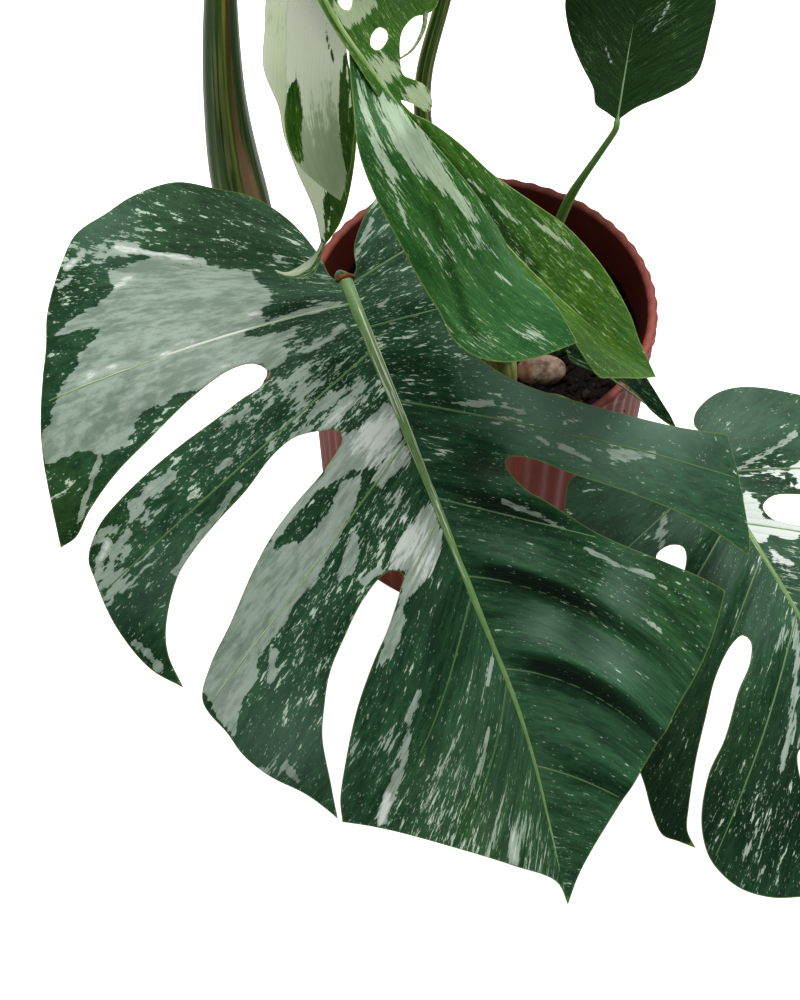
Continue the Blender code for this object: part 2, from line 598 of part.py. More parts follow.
def soil(collection):
    """Potting mix that fills the pot, with a hole for each stem and a seat for the pebble."""
    slope = (POT_TOP_RADIUS - POT_BASE_RADIUS) / POT_HEIGHT
    low = POT_FLOOR + GAP
    inner_floor = POT_BASE_RADIUS + slope * POT_FLOOR - POT_WALL
    inner_top = POT_TOP_RADIUS - POT_WALL
    wall_slope = (inner_top - inner_floor) / (POT_HEIGHT - EDGE - POT_FLOOR)
    # facets of the wall and the soil cross unless the soil stays inside the chord
    chord = math.cos(math.pi / (RIB_COUNT * STEPS_PER_RIB))

    def wall(z):
        return (inner_floor + wall_slope * (z - POT_FLOOR)) * chord - GAP

    work = bmesh.new()
    rings = []
    for share in np.linspace(1, 0, SOIL_RINGS, endpoint=False):
        ring = []
        for side in range(SOIL_SIDES):
            turn = 2 * math.pi * side / SOIL_SIDES
            radius = wall(SOIL_LEVEL - 4 * MM) * share
            x, y = radius * math.cos(turn), radius * math.sin(turn)
            ring.append(work.verts.new((x, y, soil_height(x, y))))
        rings.append(ring)
    floor_ring = []
    for side in range(SOIL_SIDES):
        turn = 2 * math.pi * side / SOIL_SIDES
        floor_ring.append(work.verts.new((wall(low) * math.cos(turn), wall(low) * math.sin(turn), low)))
    for outer_ring, inner_ring in zip([floor_ring] + rings[:-1], rings):
        for i in range(SOIL_SIDES):
            j = (i + 1) % SOIL_SIDES
            work.faces.new((outer_ring[i], outer_ring[j], inner_ring[j], inner_ring[i]))
    peak = work.verts.new((0, 0, soil_height(0, 0)))
    for i in range(SOIL_SIDES):
        work.faces.new((rings[-1][i], rings[-1][(i + 1) % SOIL_SIDES], peak))
    work.faces.new(list(reversed(floor_ring)))
    mesh = bpy.data.meshes.new("soil")
    work.to_mesh(mesh)
    work.free()
    body = add_object("soil", mesh, collection, "soil")
    cutters = new_collection("soil_cutters")
    feet = [spec["path"][0] for spec in PETIOLES.values()] + [STEM_PATH[0]]
    for number, ((x, y, z), radius) in enumerate(feet):
        points = [(x, y, z - HOLE_CLEARANCE), (x, y, SOIL_CLEAR_LEVEL + 20)]
        solid_tube(f"hole_{number}", points, [radius + HOLE_CLEARANCE] * 2, cutters, None, 4)
    add_object("pebble_seat", pebble_mesh("pebble_seat", GAP), cutters)
    for cutter in cutters.objects:
        cutter.hide_render = True
        cutter.display_type = "WIRE"
    boolean(body, "DIFFERENCE", cutters)
    return body


def build():
    clear_scene()
    plant = new_collection("potted_albo_variegata_monstera")
    pot(plant)
    soil(plant)
    stone = add_object("pebble", pebble_mesh("pebble"), plant, "pebble")
    shade(stone.data, 60)
    stem_points = stalk_points(STEM_PATH, STEM_STEP)
    tube("stem", stem_points[:, :3], stem_points[:, 3], plant, "stem", 3)
    for name, spec in PETIOLES.items():
        petiole(name, spec, plant)
    sheet("blade_a", LEAF_A, plant, "blade")
    sheet("blade_b", LEAF_B, plant, "blade")
    arching_leaf("blade_c", plant)
    sheet("blade_e", LEAF_E, plant, "blade")
    sheet("blade_g", LEAF_G, plant, "blade")
    sheet("blade_h", LEAF_H, plant, "blade")


build()
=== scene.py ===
import math

import bmesh
import bpy
import numpy as np
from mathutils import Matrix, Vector
from mathutils.geometry import delaunay_2d_cdt


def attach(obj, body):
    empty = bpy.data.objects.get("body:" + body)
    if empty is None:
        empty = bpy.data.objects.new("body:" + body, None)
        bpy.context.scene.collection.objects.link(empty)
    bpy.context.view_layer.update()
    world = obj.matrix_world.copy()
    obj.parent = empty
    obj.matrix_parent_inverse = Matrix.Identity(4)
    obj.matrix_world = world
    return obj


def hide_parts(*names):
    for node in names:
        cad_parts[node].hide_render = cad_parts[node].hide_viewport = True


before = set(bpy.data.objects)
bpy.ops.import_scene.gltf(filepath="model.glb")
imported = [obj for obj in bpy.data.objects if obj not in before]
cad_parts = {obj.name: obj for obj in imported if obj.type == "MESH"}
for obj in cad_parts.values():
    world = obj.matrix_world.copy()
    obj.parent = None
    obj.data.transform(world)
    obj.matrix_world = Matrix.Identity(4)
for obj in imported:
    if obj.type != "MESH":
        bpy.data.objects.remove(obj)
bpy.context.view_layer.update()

mm = 0.001
for spare in ("Cube", "Light", "Camera"):  # what an empty Blender file starts with
    if spare in bpy.data.objects:
        bpy.data.objects.remove(bpy.data.objects[spare])


# Colours and nodes

def colour(red, green, blue):
    # screen colour, 0 to 255, as the linear colour that a shader wants
    def linear(value):
        value = value / 255
        return value / 12.92 if value < 0.04045 else ((value + 0.055) / 1.055) ** 2.4
    return (linear(red), linear(green), linear(blue), 1.0)


def newNode(tree, kind, inputs=None, **options):
    node = tree.nodes.new(kind)
    for name, value in options.items():
        setattr(node, name, value)
    for name, value in (inputs or {}).items():
        if isinstance(value, bpy.types.NodeSocket):
            tree.links.new(value, node.inputs[name])
        else:
            node.inputs[name].default_value = value
    return node


def maths(tree, operation, first, second=0.0, third=0.0, clamp=False):
    inputs = {0: first, 1: second, 2: third}
    return newNode(tree, "ShaderNodeMath", inputs, operation=operation, use_clamp=clamp).outputs[0]


def mixed(tree, share, first, second):
    node = newNode(tree, "ShaderNodeMix", {0: share, 6: first, 7: second}, data_type="RGBA")
    return node.outputs[2]


def tinted(tree, base, mask, amount, second):
    # base with the second colour where the mask is, up to the amount
    return mixed(tree, maths(tree, "MULTIPLY", mask, amount), base, second)


def ramp(tree, value, low, high, start=0.0, stop=1.0):
    # smooth step from low to high
    inputs = {"Value": value, "From Min": low, "From Max": high, "To Min": start, "To Max": stop}
    return newNode(tree, "ShaderNodeMapRange", inputs, interpolation_type="SMOOTHSTEP").outputs[0]


def noise(tree, vector, scale, detail=3.0, roughness=0.6, distortion=0.0):
    inputs = {"Vector": vector, "Scale": scale, "Detail": detail, "Roughness": roughness,
              "Distortion": distortion}
    return newNode(tree, "ShaderNodeTexNoise", inputs).outputs["Fac"]


def stretched(tree, vector, x, y, z, shift=0.0):
    inputs = {"Vector": vector, "Scale": (x, y, z), "Location": (0, 0, shift)}
    return newNode(tree, "ShaderNodeMapping", inputs).outputs[0]


def attribute(tree, name, output="Fac"):
    node = newNode(tree, "ShaderNodeAttribute", attribute_name=name, attribute_type="GEOMETRY")
    return node.outputs[output]


def objectPlace(tree):
    return newNode(tree, "ShaderNodeTexCoord").outputs["Object"]


def parted(tree, vector):
    # the x, y and z of a vector
    return newNode(tree, "ShaderNodeSeparateXYZ", {0: vector}).outputs


def newGroup(name, kind, inputs, outputs):
    # empty node group with its sockets; inputs are (name, socket, value), outputs are (name, socket)
    group = bpy.data.node_groups.new(name, kind)
    for title, socketKind, value in inputs:
        socket = group.interface.new_socket(title, in_out="INPUT",
                                            socket_type="NodeSocket" + socketKind)
        if value is not None:
            socket.default_value = value
    for title, socketKind in outputs:
        group.interface.new_socket(title, in_out="OUTPUT", socket_type="NodeSocket" + socketKind)
    ends = group.nodes.new("NodeGroupInput").outputs, group.nodes.new("NodeGroupOutput").inputs
    return group, *ends


def placed(tree, group, inputs):
    # a shader group set into a material, as its outputs
    return newNode(tree, "ShaderNodeGroup", inputs, node_tree=group).outputs


def newMaterial(name, **sockets):
    # sockets are the shader's own settings, with _ for a blank
    made = bpy.data.materials.new(name)
    made.use_nodes = True
    tree = made.node_tree
    shader = tree.nodes["Principled BSDF"]
    for title, value in sockets.items():
        shader.inputs[title.replace("_", " ")].default_value = value
    return made, tree, shader


def bumped(tree, shader, height, distance, strength=1.0):
    inputs = {"Height": height, "Distance": distance, "Strength": strength}
    tree.links.new(newNode(tree, "ShaderNodeBump", inputs).outputs[0], shader.inputs["Normal"])


def coloured(tree, shader, base, roughness=None):
    tree.links.new(base, shader.inputs["Base Color"])
    if roughness:
        tree.links.new(roughness, shader.inputs["Roughness"])


def buildGrainGroup():
    # mottled tone and small relief, for pot, soil, pebble and stalks
    group, given, out = newGroup(
        "mottle", "ShaderNodeTree",
        [("Place", "Vector", None), ("Size", "Float", 8.0), ("Fine Size", "Float", 1.0),
         ("Contrast", "Float", 1.0)],
        [("Tone", "Float"), ("Fine", "Float"), ("Height", "Float")])
    wide = maths(group, "DIVIDE", 1000.0, given["Size"])
    narrow = maths(group, "DIVIDE", 1000.0, given["Fine Size"])
    broad = noise(group, given["Place"], wide, 4, 0.6)
    fine = noise(group, given["Place"], narrow, 3, 0.7)
    spread = maths(group, "MULTIPLY_ADD", maths(group, "SUBTRACT", broad, 0.5),
                   maths(group, "MULTIPLY", given["Contrast"], 2.2), 0.5, clamp=True)
    group.links.new(spread, out["Tone"])
    group.links.new(fine, out["Fine"])
    group.links.new(maths(group, "MULTIPLY_ADD", fine, 0.6, maths(group, "MULTIPLY", broad, 0.4)),
                    out["Height"])
    return group


marbling = {
    # noise: scales across and along the veins, per mm, then shift, detail, roughness, distortion
    "coarse": (0.15, 0.035, 0.0, 3, 0.62, 0.3), "cells": (0.66, 0.11, 9.0, 3.5, 0.68, 0.25),
    "dots": (1.5, 0.34, 21.0, 2, 0.6, 0.0),
    "jag": 1.25, "paleEdge": (0.47, 0.53),
    # a fleck or dot shows where its noise is above a level, which speckle lowers
    "fleckLevel": 0.745, "fleckDrop": -0.27, "fleckPatches": -0.5, "fleckEdge": 0.035,
    "dotLevel": 0.705, "dotDrop": -0.16, "dotEdge": 0.05, "dotShare": 0.55,
    "veinWander": 0.9, "veinWidth": 0.10,
}


def buildStreakGroup():
    # jagged pale sectors, flecks drawn out along the veins, and fine parallel veins
    group, given, out = newGroup(
        "variegation", "ShaderNodeTree",
        [("Grain", "Vector", None), ("Pale", "Float", 0.0), ("Speckle", "Float", 0.3),
         ("Jag", "Float", 1.0), ("Vein Pitch", "Float", 5.5)],
        [("Pale", "Float"), ("Flecks", "Float"), ("Tone", "Float"), ("Lines", "Float"),
         ("Height", "Float")])
    grain = given["Grain"]

    def grained(name):
        across, along, shift, *rest = marbling[name]
        return noise(group, stretched(group, grain, across, along, 1, shift), 1, *rest)

    coarse, cells, dots = grained("coarse"), grained("cells"), grained("dots")
    patches = maths(group, "SUBTRACT", coarse, 0.5)
    speckle = given["Speckle"]
    jag = maths(group, "MULTIPLY", given["Jag"], marbling["jag"])
    edge = maths(group, "MULTIPLY_ADD", patches, jag, given["Pale"])
    edge = maths(group, "MULTIPLY_ADD", maths(group, "SUBTRACT", cells, 0.5), jag, edge)
    group.links.new(ramp(group, edge, *marbling["paleEdge"]), out["Pale"])
    level = maths(group, "MULTIPLY_ADD", speckle, marbling["fleckDrop"], marbling["fleckLevel"])
    level = maths(group, "MULTIPLY_ADD", patches, marbling["fleckPatches"], level)
    fleck = ramp(group, maths(group, "SUBTRACT", cells, level), 0.0, marbling["fleckEdge"])
    level = maths(group, "MULTIPLY_ADD", speckle, marbling["dotDrop"], marbling["dotLevel"])
    dot = ramp(group, maths(group, "SUBTRACT", dots, level), 0.0, marbling["dotEdge"], 0.0,
               marbling["dotShare"])
    group.links.new(maths(group, "MAXIMUM", fleck, dot), out["Flecks"])
    tone = maths(group, "MULTIPLY_ADD", cells, 0.5, maths(group, "MULTIPLY", coarse, 0.5))
    group.links.new(tone, out["Tone"])
    veins = maths(group, "DIVIDE", parted(group, grain)[0], given["Vein Pitch"])
    veins = maths(group, "MULTIPLY_ADD", coarse, marbling["veinWander"], veins)
    saw = maths(group, "PINGPONG", veins, 0.5)
    group.links.new(ramp(group, saw, 0.0, marbling["veinWidth"], 1.0, 0.0), out["Lines"])
    swell = ramp(group, saw, 0.0, 0.5)
    group.links.new(maths(group, "MULTIPLY_ADD", cells, 0.25, swell), out["Height"])
    return group


grainGroup = buildGrainGroup()
streakGroup = buildStreakGroup()


def mottled(tree, place, size, fineSize, contrast):
    # sizes in mm
    return placed(tree, grainGroup, {"Place": place, "Size": size, "Fine Size": fineSize,
                                     "Contrast": contrast})


# Leaf materials

def leafMaterial(name, look):
    # green blade with pale sectors, painted shade and painted sheen; look holds its colours and amounts
    made, tree, shader = newMaterial(
        name, Roughness=look["roughness"], Specular_IOR_Level=look["gloss"],
        Subsurface_Weight=look["glow"], Subsurface_Radius=(0.9, 1.0, 0.7),
        Subsurface_Scale=2.5 * mm)
    paleShare, speckle, edge = parted(tree, attribute(tree, "marks", "Vector"))
    warmth, creamness, isUnder = parted(tree, attribute(tree, "tint", "Vector"))
    shade = attribute(tree, "shade")
    pattern = placed(tree, streakGroup, {
        "Grain": attribute(tree, "grain", "Vector"), "Pale": paleShare, "Speckle": speckle,
        "Jag": look["jag"], "Vein Pitch": look["veinPitch"]})
    cloudy = mottled(tree, objectPlace(tree), 80.0, 2.2, 1.1)
    tone = ramp(tree, pattern["Tone"], 0.36, 0.64)
    green = mixed(tree, tone, look["deep"], look["green"])
    green = mixed(tree, warmth, green, mixed(tree, tone, look["warmDeep"], look["warm"]))
    # painted shade: the green darkens towards the look's shade colour where the shade attribute is
    # above 0
    green = mixed(tree, maths(tree, "MULTIPLY", shade, 0.9, clamp=True), green, look["shade"])
    green = tinted(tree, green, pattern["Lines"], look["lineShare"], look["line"])
    # painted sheen: random cloudy patches of a paler bluish colour, stronger where the shade attribute
    # is below 0 and gone where it is above
    sheen = ramp(tree, cloudy["Tone"], 0.3, 0.7, 0.0, look["paintedSheenShare"])
    sheen = maths(tree, "SUBTRACT", sheen, shade, clamp=True)
    green = mixed(tree, sheen, green, look["paintedSheen"])
    green = tinted(tree, green, pattern["Flecks"], look["fleckShare"], look["fleck"])
    pale = mixed(tree, ramp(tree, pattern["Tone"], 0.4, 0.6), look["paleDeep"], look["pale"])
    pale = tinted(tree, pale, warmth, 0.7, look["warmPale"])
    uneven = maths(tree, "SUBTRACT", pattern["Tone"], 0.5)
    uneven = maths(tree, "MULTIPLY_ADD", uneven, 1.6, creamness)
    creamy = maths(tree, "ADD", maths(tree, "MULTIPLY", creamness, 0.5),
                   ramp(tree, uneven, 0.42, 0.62, 0.0, 0.6), clamp=True)
    pale = mixed(tree, creamy, pale, look["cream"])
    pale = tinted(tree, pale, pattern["Lines"], look["paleLineShare"], look["paleLine"])
    top = mixed(tree, pattern["Pale"], green, pale)
    top = mixed(tree, ramp(tree, edge, 0.25, 0.8, look["rimShare"], 0.0), top, look["rim"])
    under = mixed(tree, tone, look["underDeep"], look["under"])
    under = mixed(tree, pattern["Pale"], under, pale)
    matt = maths(tree, "MULTIPLY_ADD", cloudy["Fine"], 0.16, look["roughness"] - 0.06)
    coloured(tree, shader, mixed(tree, isUnder, top, under),
             maths(tree, "MULTIPLY_ADD", isUnder, 0.18, matt))
    bumped(tree, shader, maths(tree, "MULTIPLY_ADD", cloudy["Fine"], 0.25, pattern["Height"]),
           look["relief"], 0.6)
    return made


# In every look, the shade colour is painted shade, and the sheen colour with its share is a painted
# sheen.
grownLook = {
    "deep": colour(18, 48, 29), "green": colour(42, 82, 54),
    "warmDeep": colour(28, 62, 12), "warm": colour(64, 100, 32),
    "line": colour(62, 104, 60), "lineShare": 0.10,
    "paintedSheen": colour(104, 134, 116), "paintedSheenShare": 0.05,
    "fleck": colour(188, 206, 184), "fleckShare": 0.95,
    "paleDeep": colour(106, 125, 110), "pale": colour(148, 165, 150),
    "cream": colour(216, 224, 216), "paleLine": colour(92, 124, 92), "paleLineShare": 0.22,
    "warmPale": colour(146, 164, 128),
    "rim": colour(112, 132, 58), "rimShare": 0.5,
    "under": colour(84, 116, 66), "underDeep": colour(60, 94, 48),
    "roughness": 0.46, "relief": 0.10 * mm, "jag": 1.05, "veinPitch": 5.5, "glow": 0.0,
    "gloss": 0.08, "shade": colour(5, 24, 10),
}
youngLook = {
    **grownLook,
    "deep": colour(20, 66, 26), "green": colour(48, 98, 46),
    "warmDeep": colour(26, 68, 2), "warm": colour(68, 108, 14),
    "paintedSheen": colour(80, 124, 84), "paintedSheenShare": 0.12,
    "fleck": colour(168, 190, 146), "fleckShare": 0.75,
    "paleDeep": colour(122, 144, 116), "pale": colour(154, 172, 152),
    "cream": colour(232, 246, 216), "paleLine": colour(120, 150, 98), "paleLineShare": 0.1,
    "warmPale": colour(162, 176, 138),
    "rim": colour(140, 158, 74), "rimShare": 0.25,
    "under": colour(100, 132, 66), "underDeep": colour(74, 108, 44),
    "roughness": 0.45, "relief": 0.08 * mm, "veinPitch": 3.2, "glow": 0.6,
    "shade": colour(12, 44, 6),
}
darkLook = {
    **grownLook,
    "deep": colour(5, 22, 10), "green": colour(16, 42, 22), "lineShare": 0.04,
    "paintedSheenShare": 0.0, "fleck": colour(120, 150, 112), "fleckShare": 0.4, "rimShare": 0.2,
    "roughness": 0.55, "relief": 0.05 * mm, "gloss": 0.03, "shade": colour(2, 18, 6),
}
grownLeaf = leafMaterial("grownLeaf", grownLook)
youngLeaf = leafMaterial("youngLeaf", youngLook)
darkLeaf = leafMaterial("darkLeaf", darkLook)


def veinMaterial(name, green, pale, stripe, dark):
    # lightness: 1 is a pale vein, below 0 it darkens, and between them pale streaks break through
    made, tree, shader = newMaterial(name, Roughness=0.45)
    lightness = attribute(tree, "lightness")
    flow = stretched(tree, attribute(tree, "flow", "Vector"), 4.5, 4.5, 26.0)
    streaks = noise(tree, flow, 1, 3, 0.6)
    tone = ramp(tree, noise(tree, objectPlace(tree), 160, 3), 0.35, 0.65)
    base = mixed(tree, tone, green, mixed(tree, 0.5, green, stripe))
    base = mixed(tree, ramp(tree, lightness, -1.0, 0.1, 0.8, 0.0), base, dark)
    edge = maths(tree, "MULTIPLY_ADD", lightness, 0.2, streaks)
    base = mixed(tree, ramp(tree, edge, 0.60, 0.66), base, pale)
    base = mixed(tree, ramp(tree, lightness, 0.55, 1.0, 0.0, 0.85), base, pale)
    base = mixed(tree, ramp(tree, streaks, 0.34, 0.42, 0.55, 0.0), base, dark)
    coloured(tree, shader, base)
    bumped(tree, shader, streaks, 0.2 * mm, 0.5)
    return made


grownVein = veinMaterial("grownVein", colour(96, 134, 70), colour(206, 214, 196),
                         colour(124, 156, 92), colour(44, 84, 40))
darkVein = veinMaterial("darkVein", colour(58, 98, 42), colour(120, 150, 100),
                        colour(84, 124, 60), colour(24, 56, 22))
youngVein = veinMaterial("youngVein", colour(116, 148, 80), colour(214, 222, 200),
                         colour(156, 176, 106), colour(66, 106, 40))


# Leaf shapes, in mm. A blade is laid out flat, with u across it and s along its midrib, and then
# bent. Its dictionary holds the midrib in space, the fold and curl of both halves at shares of its
# length, and the flat outline, where a third number marks a sharp corner. A side vein is its start
# and its lean. Sectors, streaks (path, half width, strength) and clouds (u, s, reach, amount) place
# the pale, light, warm and cream parts of its marbling, its painted shade and its painted sheen.

bladeShape = {
    "smooth": 25.0,  # the midrib's direction is taken over this much to both sides
    "thickness": 0.9, "edgeShare": 0.45, "edgeReach": 4,  # thinner at the margin
    "laneWidth": 40, "laneShift": 400, "seedShift": 13.7,  # where the marbling's noise is read
    "rootReach": 26,  # how far a hanging lobe is bent on to its midrib
    "clear": 0.55,  # of the grid's spacing, between the grid and the outline
    "soft": 9.0, "streakCore": 1.25, "smoothTo": 50,
}
swellShape = {"root": 26, "power": 1.6, "calmFrom": 42, "calmRun": 58, "calm": 0.85}
# painted shade in the blade's valleys: where it starts and fades across the blade, and how steep a fall
# darkens it
valleyShade = {"from": 3, "fromRun": 12, "until": 92, "untilRun": 42, "step": 2.0, "least": 0.12,
               "full": 1.1, "falls": ((0, 1.0), (4, 0.9), (8, 0.6))}


def curveThrough(points, step):
    # smooth open curve through the points, sampled about once a step
    pts = np.array(points, float)
    ext = np.vstack([2 * pts[0] - pts[1], pts, 2 * pts[-1] - pts[-2]])
    samples = [pts[0]]
    for a, b, c, d in zip(ext[:-3], ext[1:-2], ext[2:-1], ext[3:]):
        tb = math.sqrt(np.linalg.norm(b - a))
        tc = tb + math.sqrt(np.linalg.norm(c - b))
        td = tc + math.sqrt(np.linalg.norm(d - c))
        for t in np.linspace(tb, tc, max(1, round(np.linalg.norm(c - b) / step)) + 1)[1:]:
            ab = a + (b - a) * t / tb
            bc = b + (c - b) * (t - tb) / (tc - tb)
            cd = c + (d - c) * (t - tc) / (td - tc)
            abc = ab + (bc - ab) * t / tc
            bcd = bc + (cd - bc) * (t - tb) / (td - tb)
            samples.append(abc + (bcd - abc) * (t - tb) / (tc - tb))
    return np.array(samples)


def outlineLoop(points, step):
    # closed loop of smooth stretches between sharp corners; a loop without one is smooth all round
    corners = [i for i, p in enumerate(points) if len(p) > 2]
    if not corners:
        dense = curveThrough(points[-2:] + points + points[:2], step)
        first = np.argmin(np.linalg.norm(dense - points[0], axis=1))
        later = first + 4 + np.argmin(np.linalg.norm(dense[first + 4:] - points[0], axis=1))
        return dense[first:later]
    ring = points[corners[0]:] + points[:corners[0]] + [points[corners[0]]]
    stops = [i for i, p in enumerate(ring) if len(p) > 2]
    loop = []
    for i, j in zip(stops, stops[1:]):
        loop.extend(curveThrough([p[:2] for p in ring[i:j + 1]], step)[:-1])
    return np.array(loop)


def allLoops(leaf, step):
    # the outline first, then the holes
    return [outlineLoop(loop, step) for loop in [leaf["outline"], *leaf.get("holes", [])]]


def makeSurface(leaf):
    # bent surface of a blade: midrib curve, tangents and lengths
    curve = curveThrough(leaf["midrib"], 2.0)
    steps = np.linalg.norm(np.diff(curve, axis=0), axis=1)
    surface = dict(leaf, curve=curve, marks=np.concatenate([[0], np.cumsum(steps)]))
    surface["length"] = surface["marks"][-1]
    tangent = (readAlong(surface, curve, surface["marks"] + bladeShape["smooth"])
               - readAlong(surface, curve, surface["marks"] - bladeShape["smooth"]))
    surface["tangent"] = tangent / np.linalg.norm(tangent, axis=1)[:, None]
    return surface


def readAlong(surface, values, along):
    return np.stack([np.interp(along, surface["marks"], values[:, i]) for i in range(3)], -1)


def midribFrame(surface, along):
    inside = np.clip(along, 0, surface["length"])
    forward = readAlong(surface, surface["tangent"], inside)
    forward /= np.linalg.norm(forward, axis=-1)[..., None]
    middle = readAlong(surface, surface["curve"], inside) + forward * (along - inside)[..., None]
    across = np.cross(forward, [0, 0, 1.0])
    across /= np.linalg.norm(across, axis=-1)[..., None]
    return middle, forward, across, np.cross(across, forward)


def veinRun(vein, out):
    # how far along the blade a side vein is; beside a fold its third number is a bend
    start, lean, *bend = vein
    return start + lean * out + sum(bend) * out ** 2


def laneOf(leaf, across, along, right):
    # which pair of side veins a place lies between, as a running number
    out = np.abs(across)
    width = bladeShape["laneWidth"]
    lane = np.zeros(out.shape)
    for side, name in ((right, "veinsRight"), (~right, "veinsLeft")):
        starts = np.array([veinRun(vein, out) for vein in leaf[name]])
        number = np.where(along <= starts[0], (along - starts[0]) / width, 0.0)
        for k, (low, high) in enumerate(zip(starts[:-1], starts[1:])):
            between = (along > low) & (along <= high)
            number = np.where(between, k + (along - low) / np.where(between, high - low, 1), number)
        past = len(starts) - 1 + (along - starts[-1]) / width
        lane = np.where(side, np.where(along > starts[-1], past, number), lane)
    return lane


def swellAt(leaf, across, along, right):
    # the blade rises slowly from one side vein and falls steeply to the next
    lane = laneOf(leaf, across, along, right)
    count = np.where(right, len(leaf["veinsRight"]), len(leaf["veinsLeft"])) - 1
    phase = np.clip(lane, 0, count) % 1.0
    steep = np.where(right, leaf["steep"], leaf.get("steepLeft", leaf["steep"]))
    height = np.sin(np.pi * phase ** steep) ** swellShape["power"]
    out = np.abs(across)
    amount = np.full(out.shape, float(leaf["swell"]))
    if "swellsLeft" in leaf:
        number = np.clip(lane, 0, len(leaf["swellsLeft"]) - 1).astype(int)
        amount = np.where(right, amount, np.array(leaf["swellsLeft"], float)[number])
    far = np.clip((out - swellShape["calmFrom"]) / swellShape["calmRun"], 0, 1)
    calm = 1 - swellShape["calm"] * far
    return amount * height * np.clip(out / swellShape["root"], 0, 1) * calm


def surfaceAt(surface, across, along, right=None):
    # places in mm for points across and along the blade
    right = across > 0 if right is None else right
    middle, _, side, up = midribFrame(surface, along)
    share = along / surface["length"]
    rows = {}
    for name in ("fold", "curl"):
        both = [np.array(surface.get(name + hand) or surface[name], float).T
                for hand in ("Left", "Right")]
        rows[name] = np.where(right, np.interp(share, *both[1]), np.interp(share, *both[0]))
    fold, curl = np.radians(rows["fold"]), rows["curl"] * mm
    out = np.abs(across)
    width = (np.sin(fold) - np.sin(fold - curl * out)) / curl
    rise = (np.cos(fold - curl * out) - np.cos(fold)) / curl
    if surface.get("swell"):
        rise = rise + swellAt(surface, across, along, right)
    width = np.where(right, width, -width)
    return middle + side * width[..., None] + up * rise[..., None]


def insideLoop(points, loop):
    # counts the edges that a ray from each point crosses
    x, y = points[:, 0:1], points[:, 1:2]
    ax, ay = loop[:, 0], loop[:, 1]
    bx, by = np.roll(ax, -1), np.roll(ay, -1)
    crosses = (ay > y) != (by > y)
    rise = np.where(by == ay, 1e-9, by - ay)
    return (crosses & (x < (bx - ax) * (y - ay) / rise + ax)).sum(axis=1) % 2 == 1


def distanceTo(points, loop, closed=True):
    # distance from each point to a line of short stretches
    stops = np.roll(loop, -1, axis=0) if closed else loop[1:]
    nearest = np.full(len(points), 1e9)
    for start, stop in zip(loop, stops):
        run = stop - start
        t = np.clip((points - start) @ run / max(run @ run, 1e-9), 0, 1)
        nearest = np.minimum(nearest, np.linalg.norm(points - start - t[:, None] * run, axis=1))
    return nearest


def insideBlade(points, loops):
    inside = insideLoop(points, loops[0])
    for hole in loops[1:]:
        inside &= ~insideLoop(points, hole)
    return inside


def flatBlade(leaf, spacing):
    # triangles of the blade laid flat, on a triangular grid with a row on the midrib
    loops = allLoops(leaf, spacing)
    low, high = loops[0].min(axis=0), loops[0].max(axis=0)
    rowHeight = spacing * math.sqrt(3) / 2
    columns = np.arange(math.floor(low[0] / rowHeight), math.ceil(high[0] / rowHeight) + 1)
    rows = np.arange(math.floor(low[1] / spacing), math.ceil(high[1] / spacing) + 1)
    column, row = np.meshgrid(columns, rows)
    grid = np.stack([column * rowHeight, (row + 0.5 * (column % 2)) * spacing], -1).reshape(-1, 2)
    grid = grid[insideBlade(grid, loops)]
    clear = bladeShape["clear"] * spacing
    grid = grid[np.min([distanceTo(grid, loop) for loop in loops], axis=0) > clear]
    points, edges = [], []
    for loop in loops:
        start = len(points)
        points.extend(loop)
        edges.extend((start + i, start + (i + 1) % len(loop)) for i in range(len(loop)))
    points.extend(grid)
    made = delaunay_2d_cdt([Vector(p) for p in points], edges, [], 0, 1e-4)
    flat = np.array([v[:] for v in made[0]])
    faces = np.array([face[:] for face in made[2]])
    return flat, faces[insideBlade(flat[faces].mean(axis=1), loops)], loops


def sectorShare(flat, sectors):
    # 1 inside a pale sector, 0 outside, with a soft border; a dark sector cuts the earlier ones
    share = np.zeros(len(flat))
    for sector in sectors:
        loop = np.array(sector["loop"], float)
        distance = distanceTo(flat, loop)
        signed = np.where(insideLoop(flat, loop), distance, -distance)
        value = np.clip(0.5 + signed / sector.get("soft", bladeShape["soft"]), 0, 1)
        dark = sector.get("dark")
        share = np.minimum(share, 1 - value) if dark else np.maximum(share, value)
    return share


def streakShare(flat, streaks):
    # soft stripes along paths
    share = np.zeros(len(flat))
    for path, width, strength in streaks:
        distance = distanceTo(flat, np.array(path, float), closed=False)
        near = np.clip(bladeShape["streakCore"] - distance / width, 0, 1)
        share = np.maximum(share, strength * near)
    return share


def cloudShare(flat, clouds, base):
    # base amount with round clouds of more or less of it; a later cloud covers an earlier one
    share = np.full(len(flat), float(base))
    for x, y, reach, amount in clouds:
        near = np.exp(-((flat[:, 0] - x) ** 2 + (flat[:, 1] - y) ** 2) / reach ** 2)
        share = share + (amount - share) * near
    return share


def shadeOf(leaf, flat):
    # above 0 the green is darker, a painted shade; below 0 it has a paler, painted sheen
    shade = (cloudShare(flat, leaf.get("shadeClouds", []), leaf.get("shadeness", 0.0))
             - cloudShare(flat, leaf.get("sheenClouds", []), 0.0)
             + streakShare(flat, leaf.get("shadeStreaks", [])))
    if leaf.get("swell"):
        # painted shade in each valley, from the steep fall to just past its vein
        out = np.abs(flat[:, 0])
        taper = (np.clip((out - valleyShade["from"]) / valleyShade["fromRun"], 0, 1)
                 * np.clip((valleyShade["until"] - out) / valleyShade["untilRun"], 0, 1))
        falls = []
        for shift, share in valleyShade["falls"]:
            here, ahead = [swellAt(leaf, flat[:, 0], flat[:, 1] - shift + step, flat[:, 0] > 0)
                           for step in (0.0, valleyShade["step"])]
            fall = (here - ahead - valleyShade["least"]) / valleyShade["full"]
            falls.append(share * np.clip(fall, 0, 1))
        shade = shade + np.max(falls, axis=0) * taper
    return np.clip(shade, -0.7, 1)


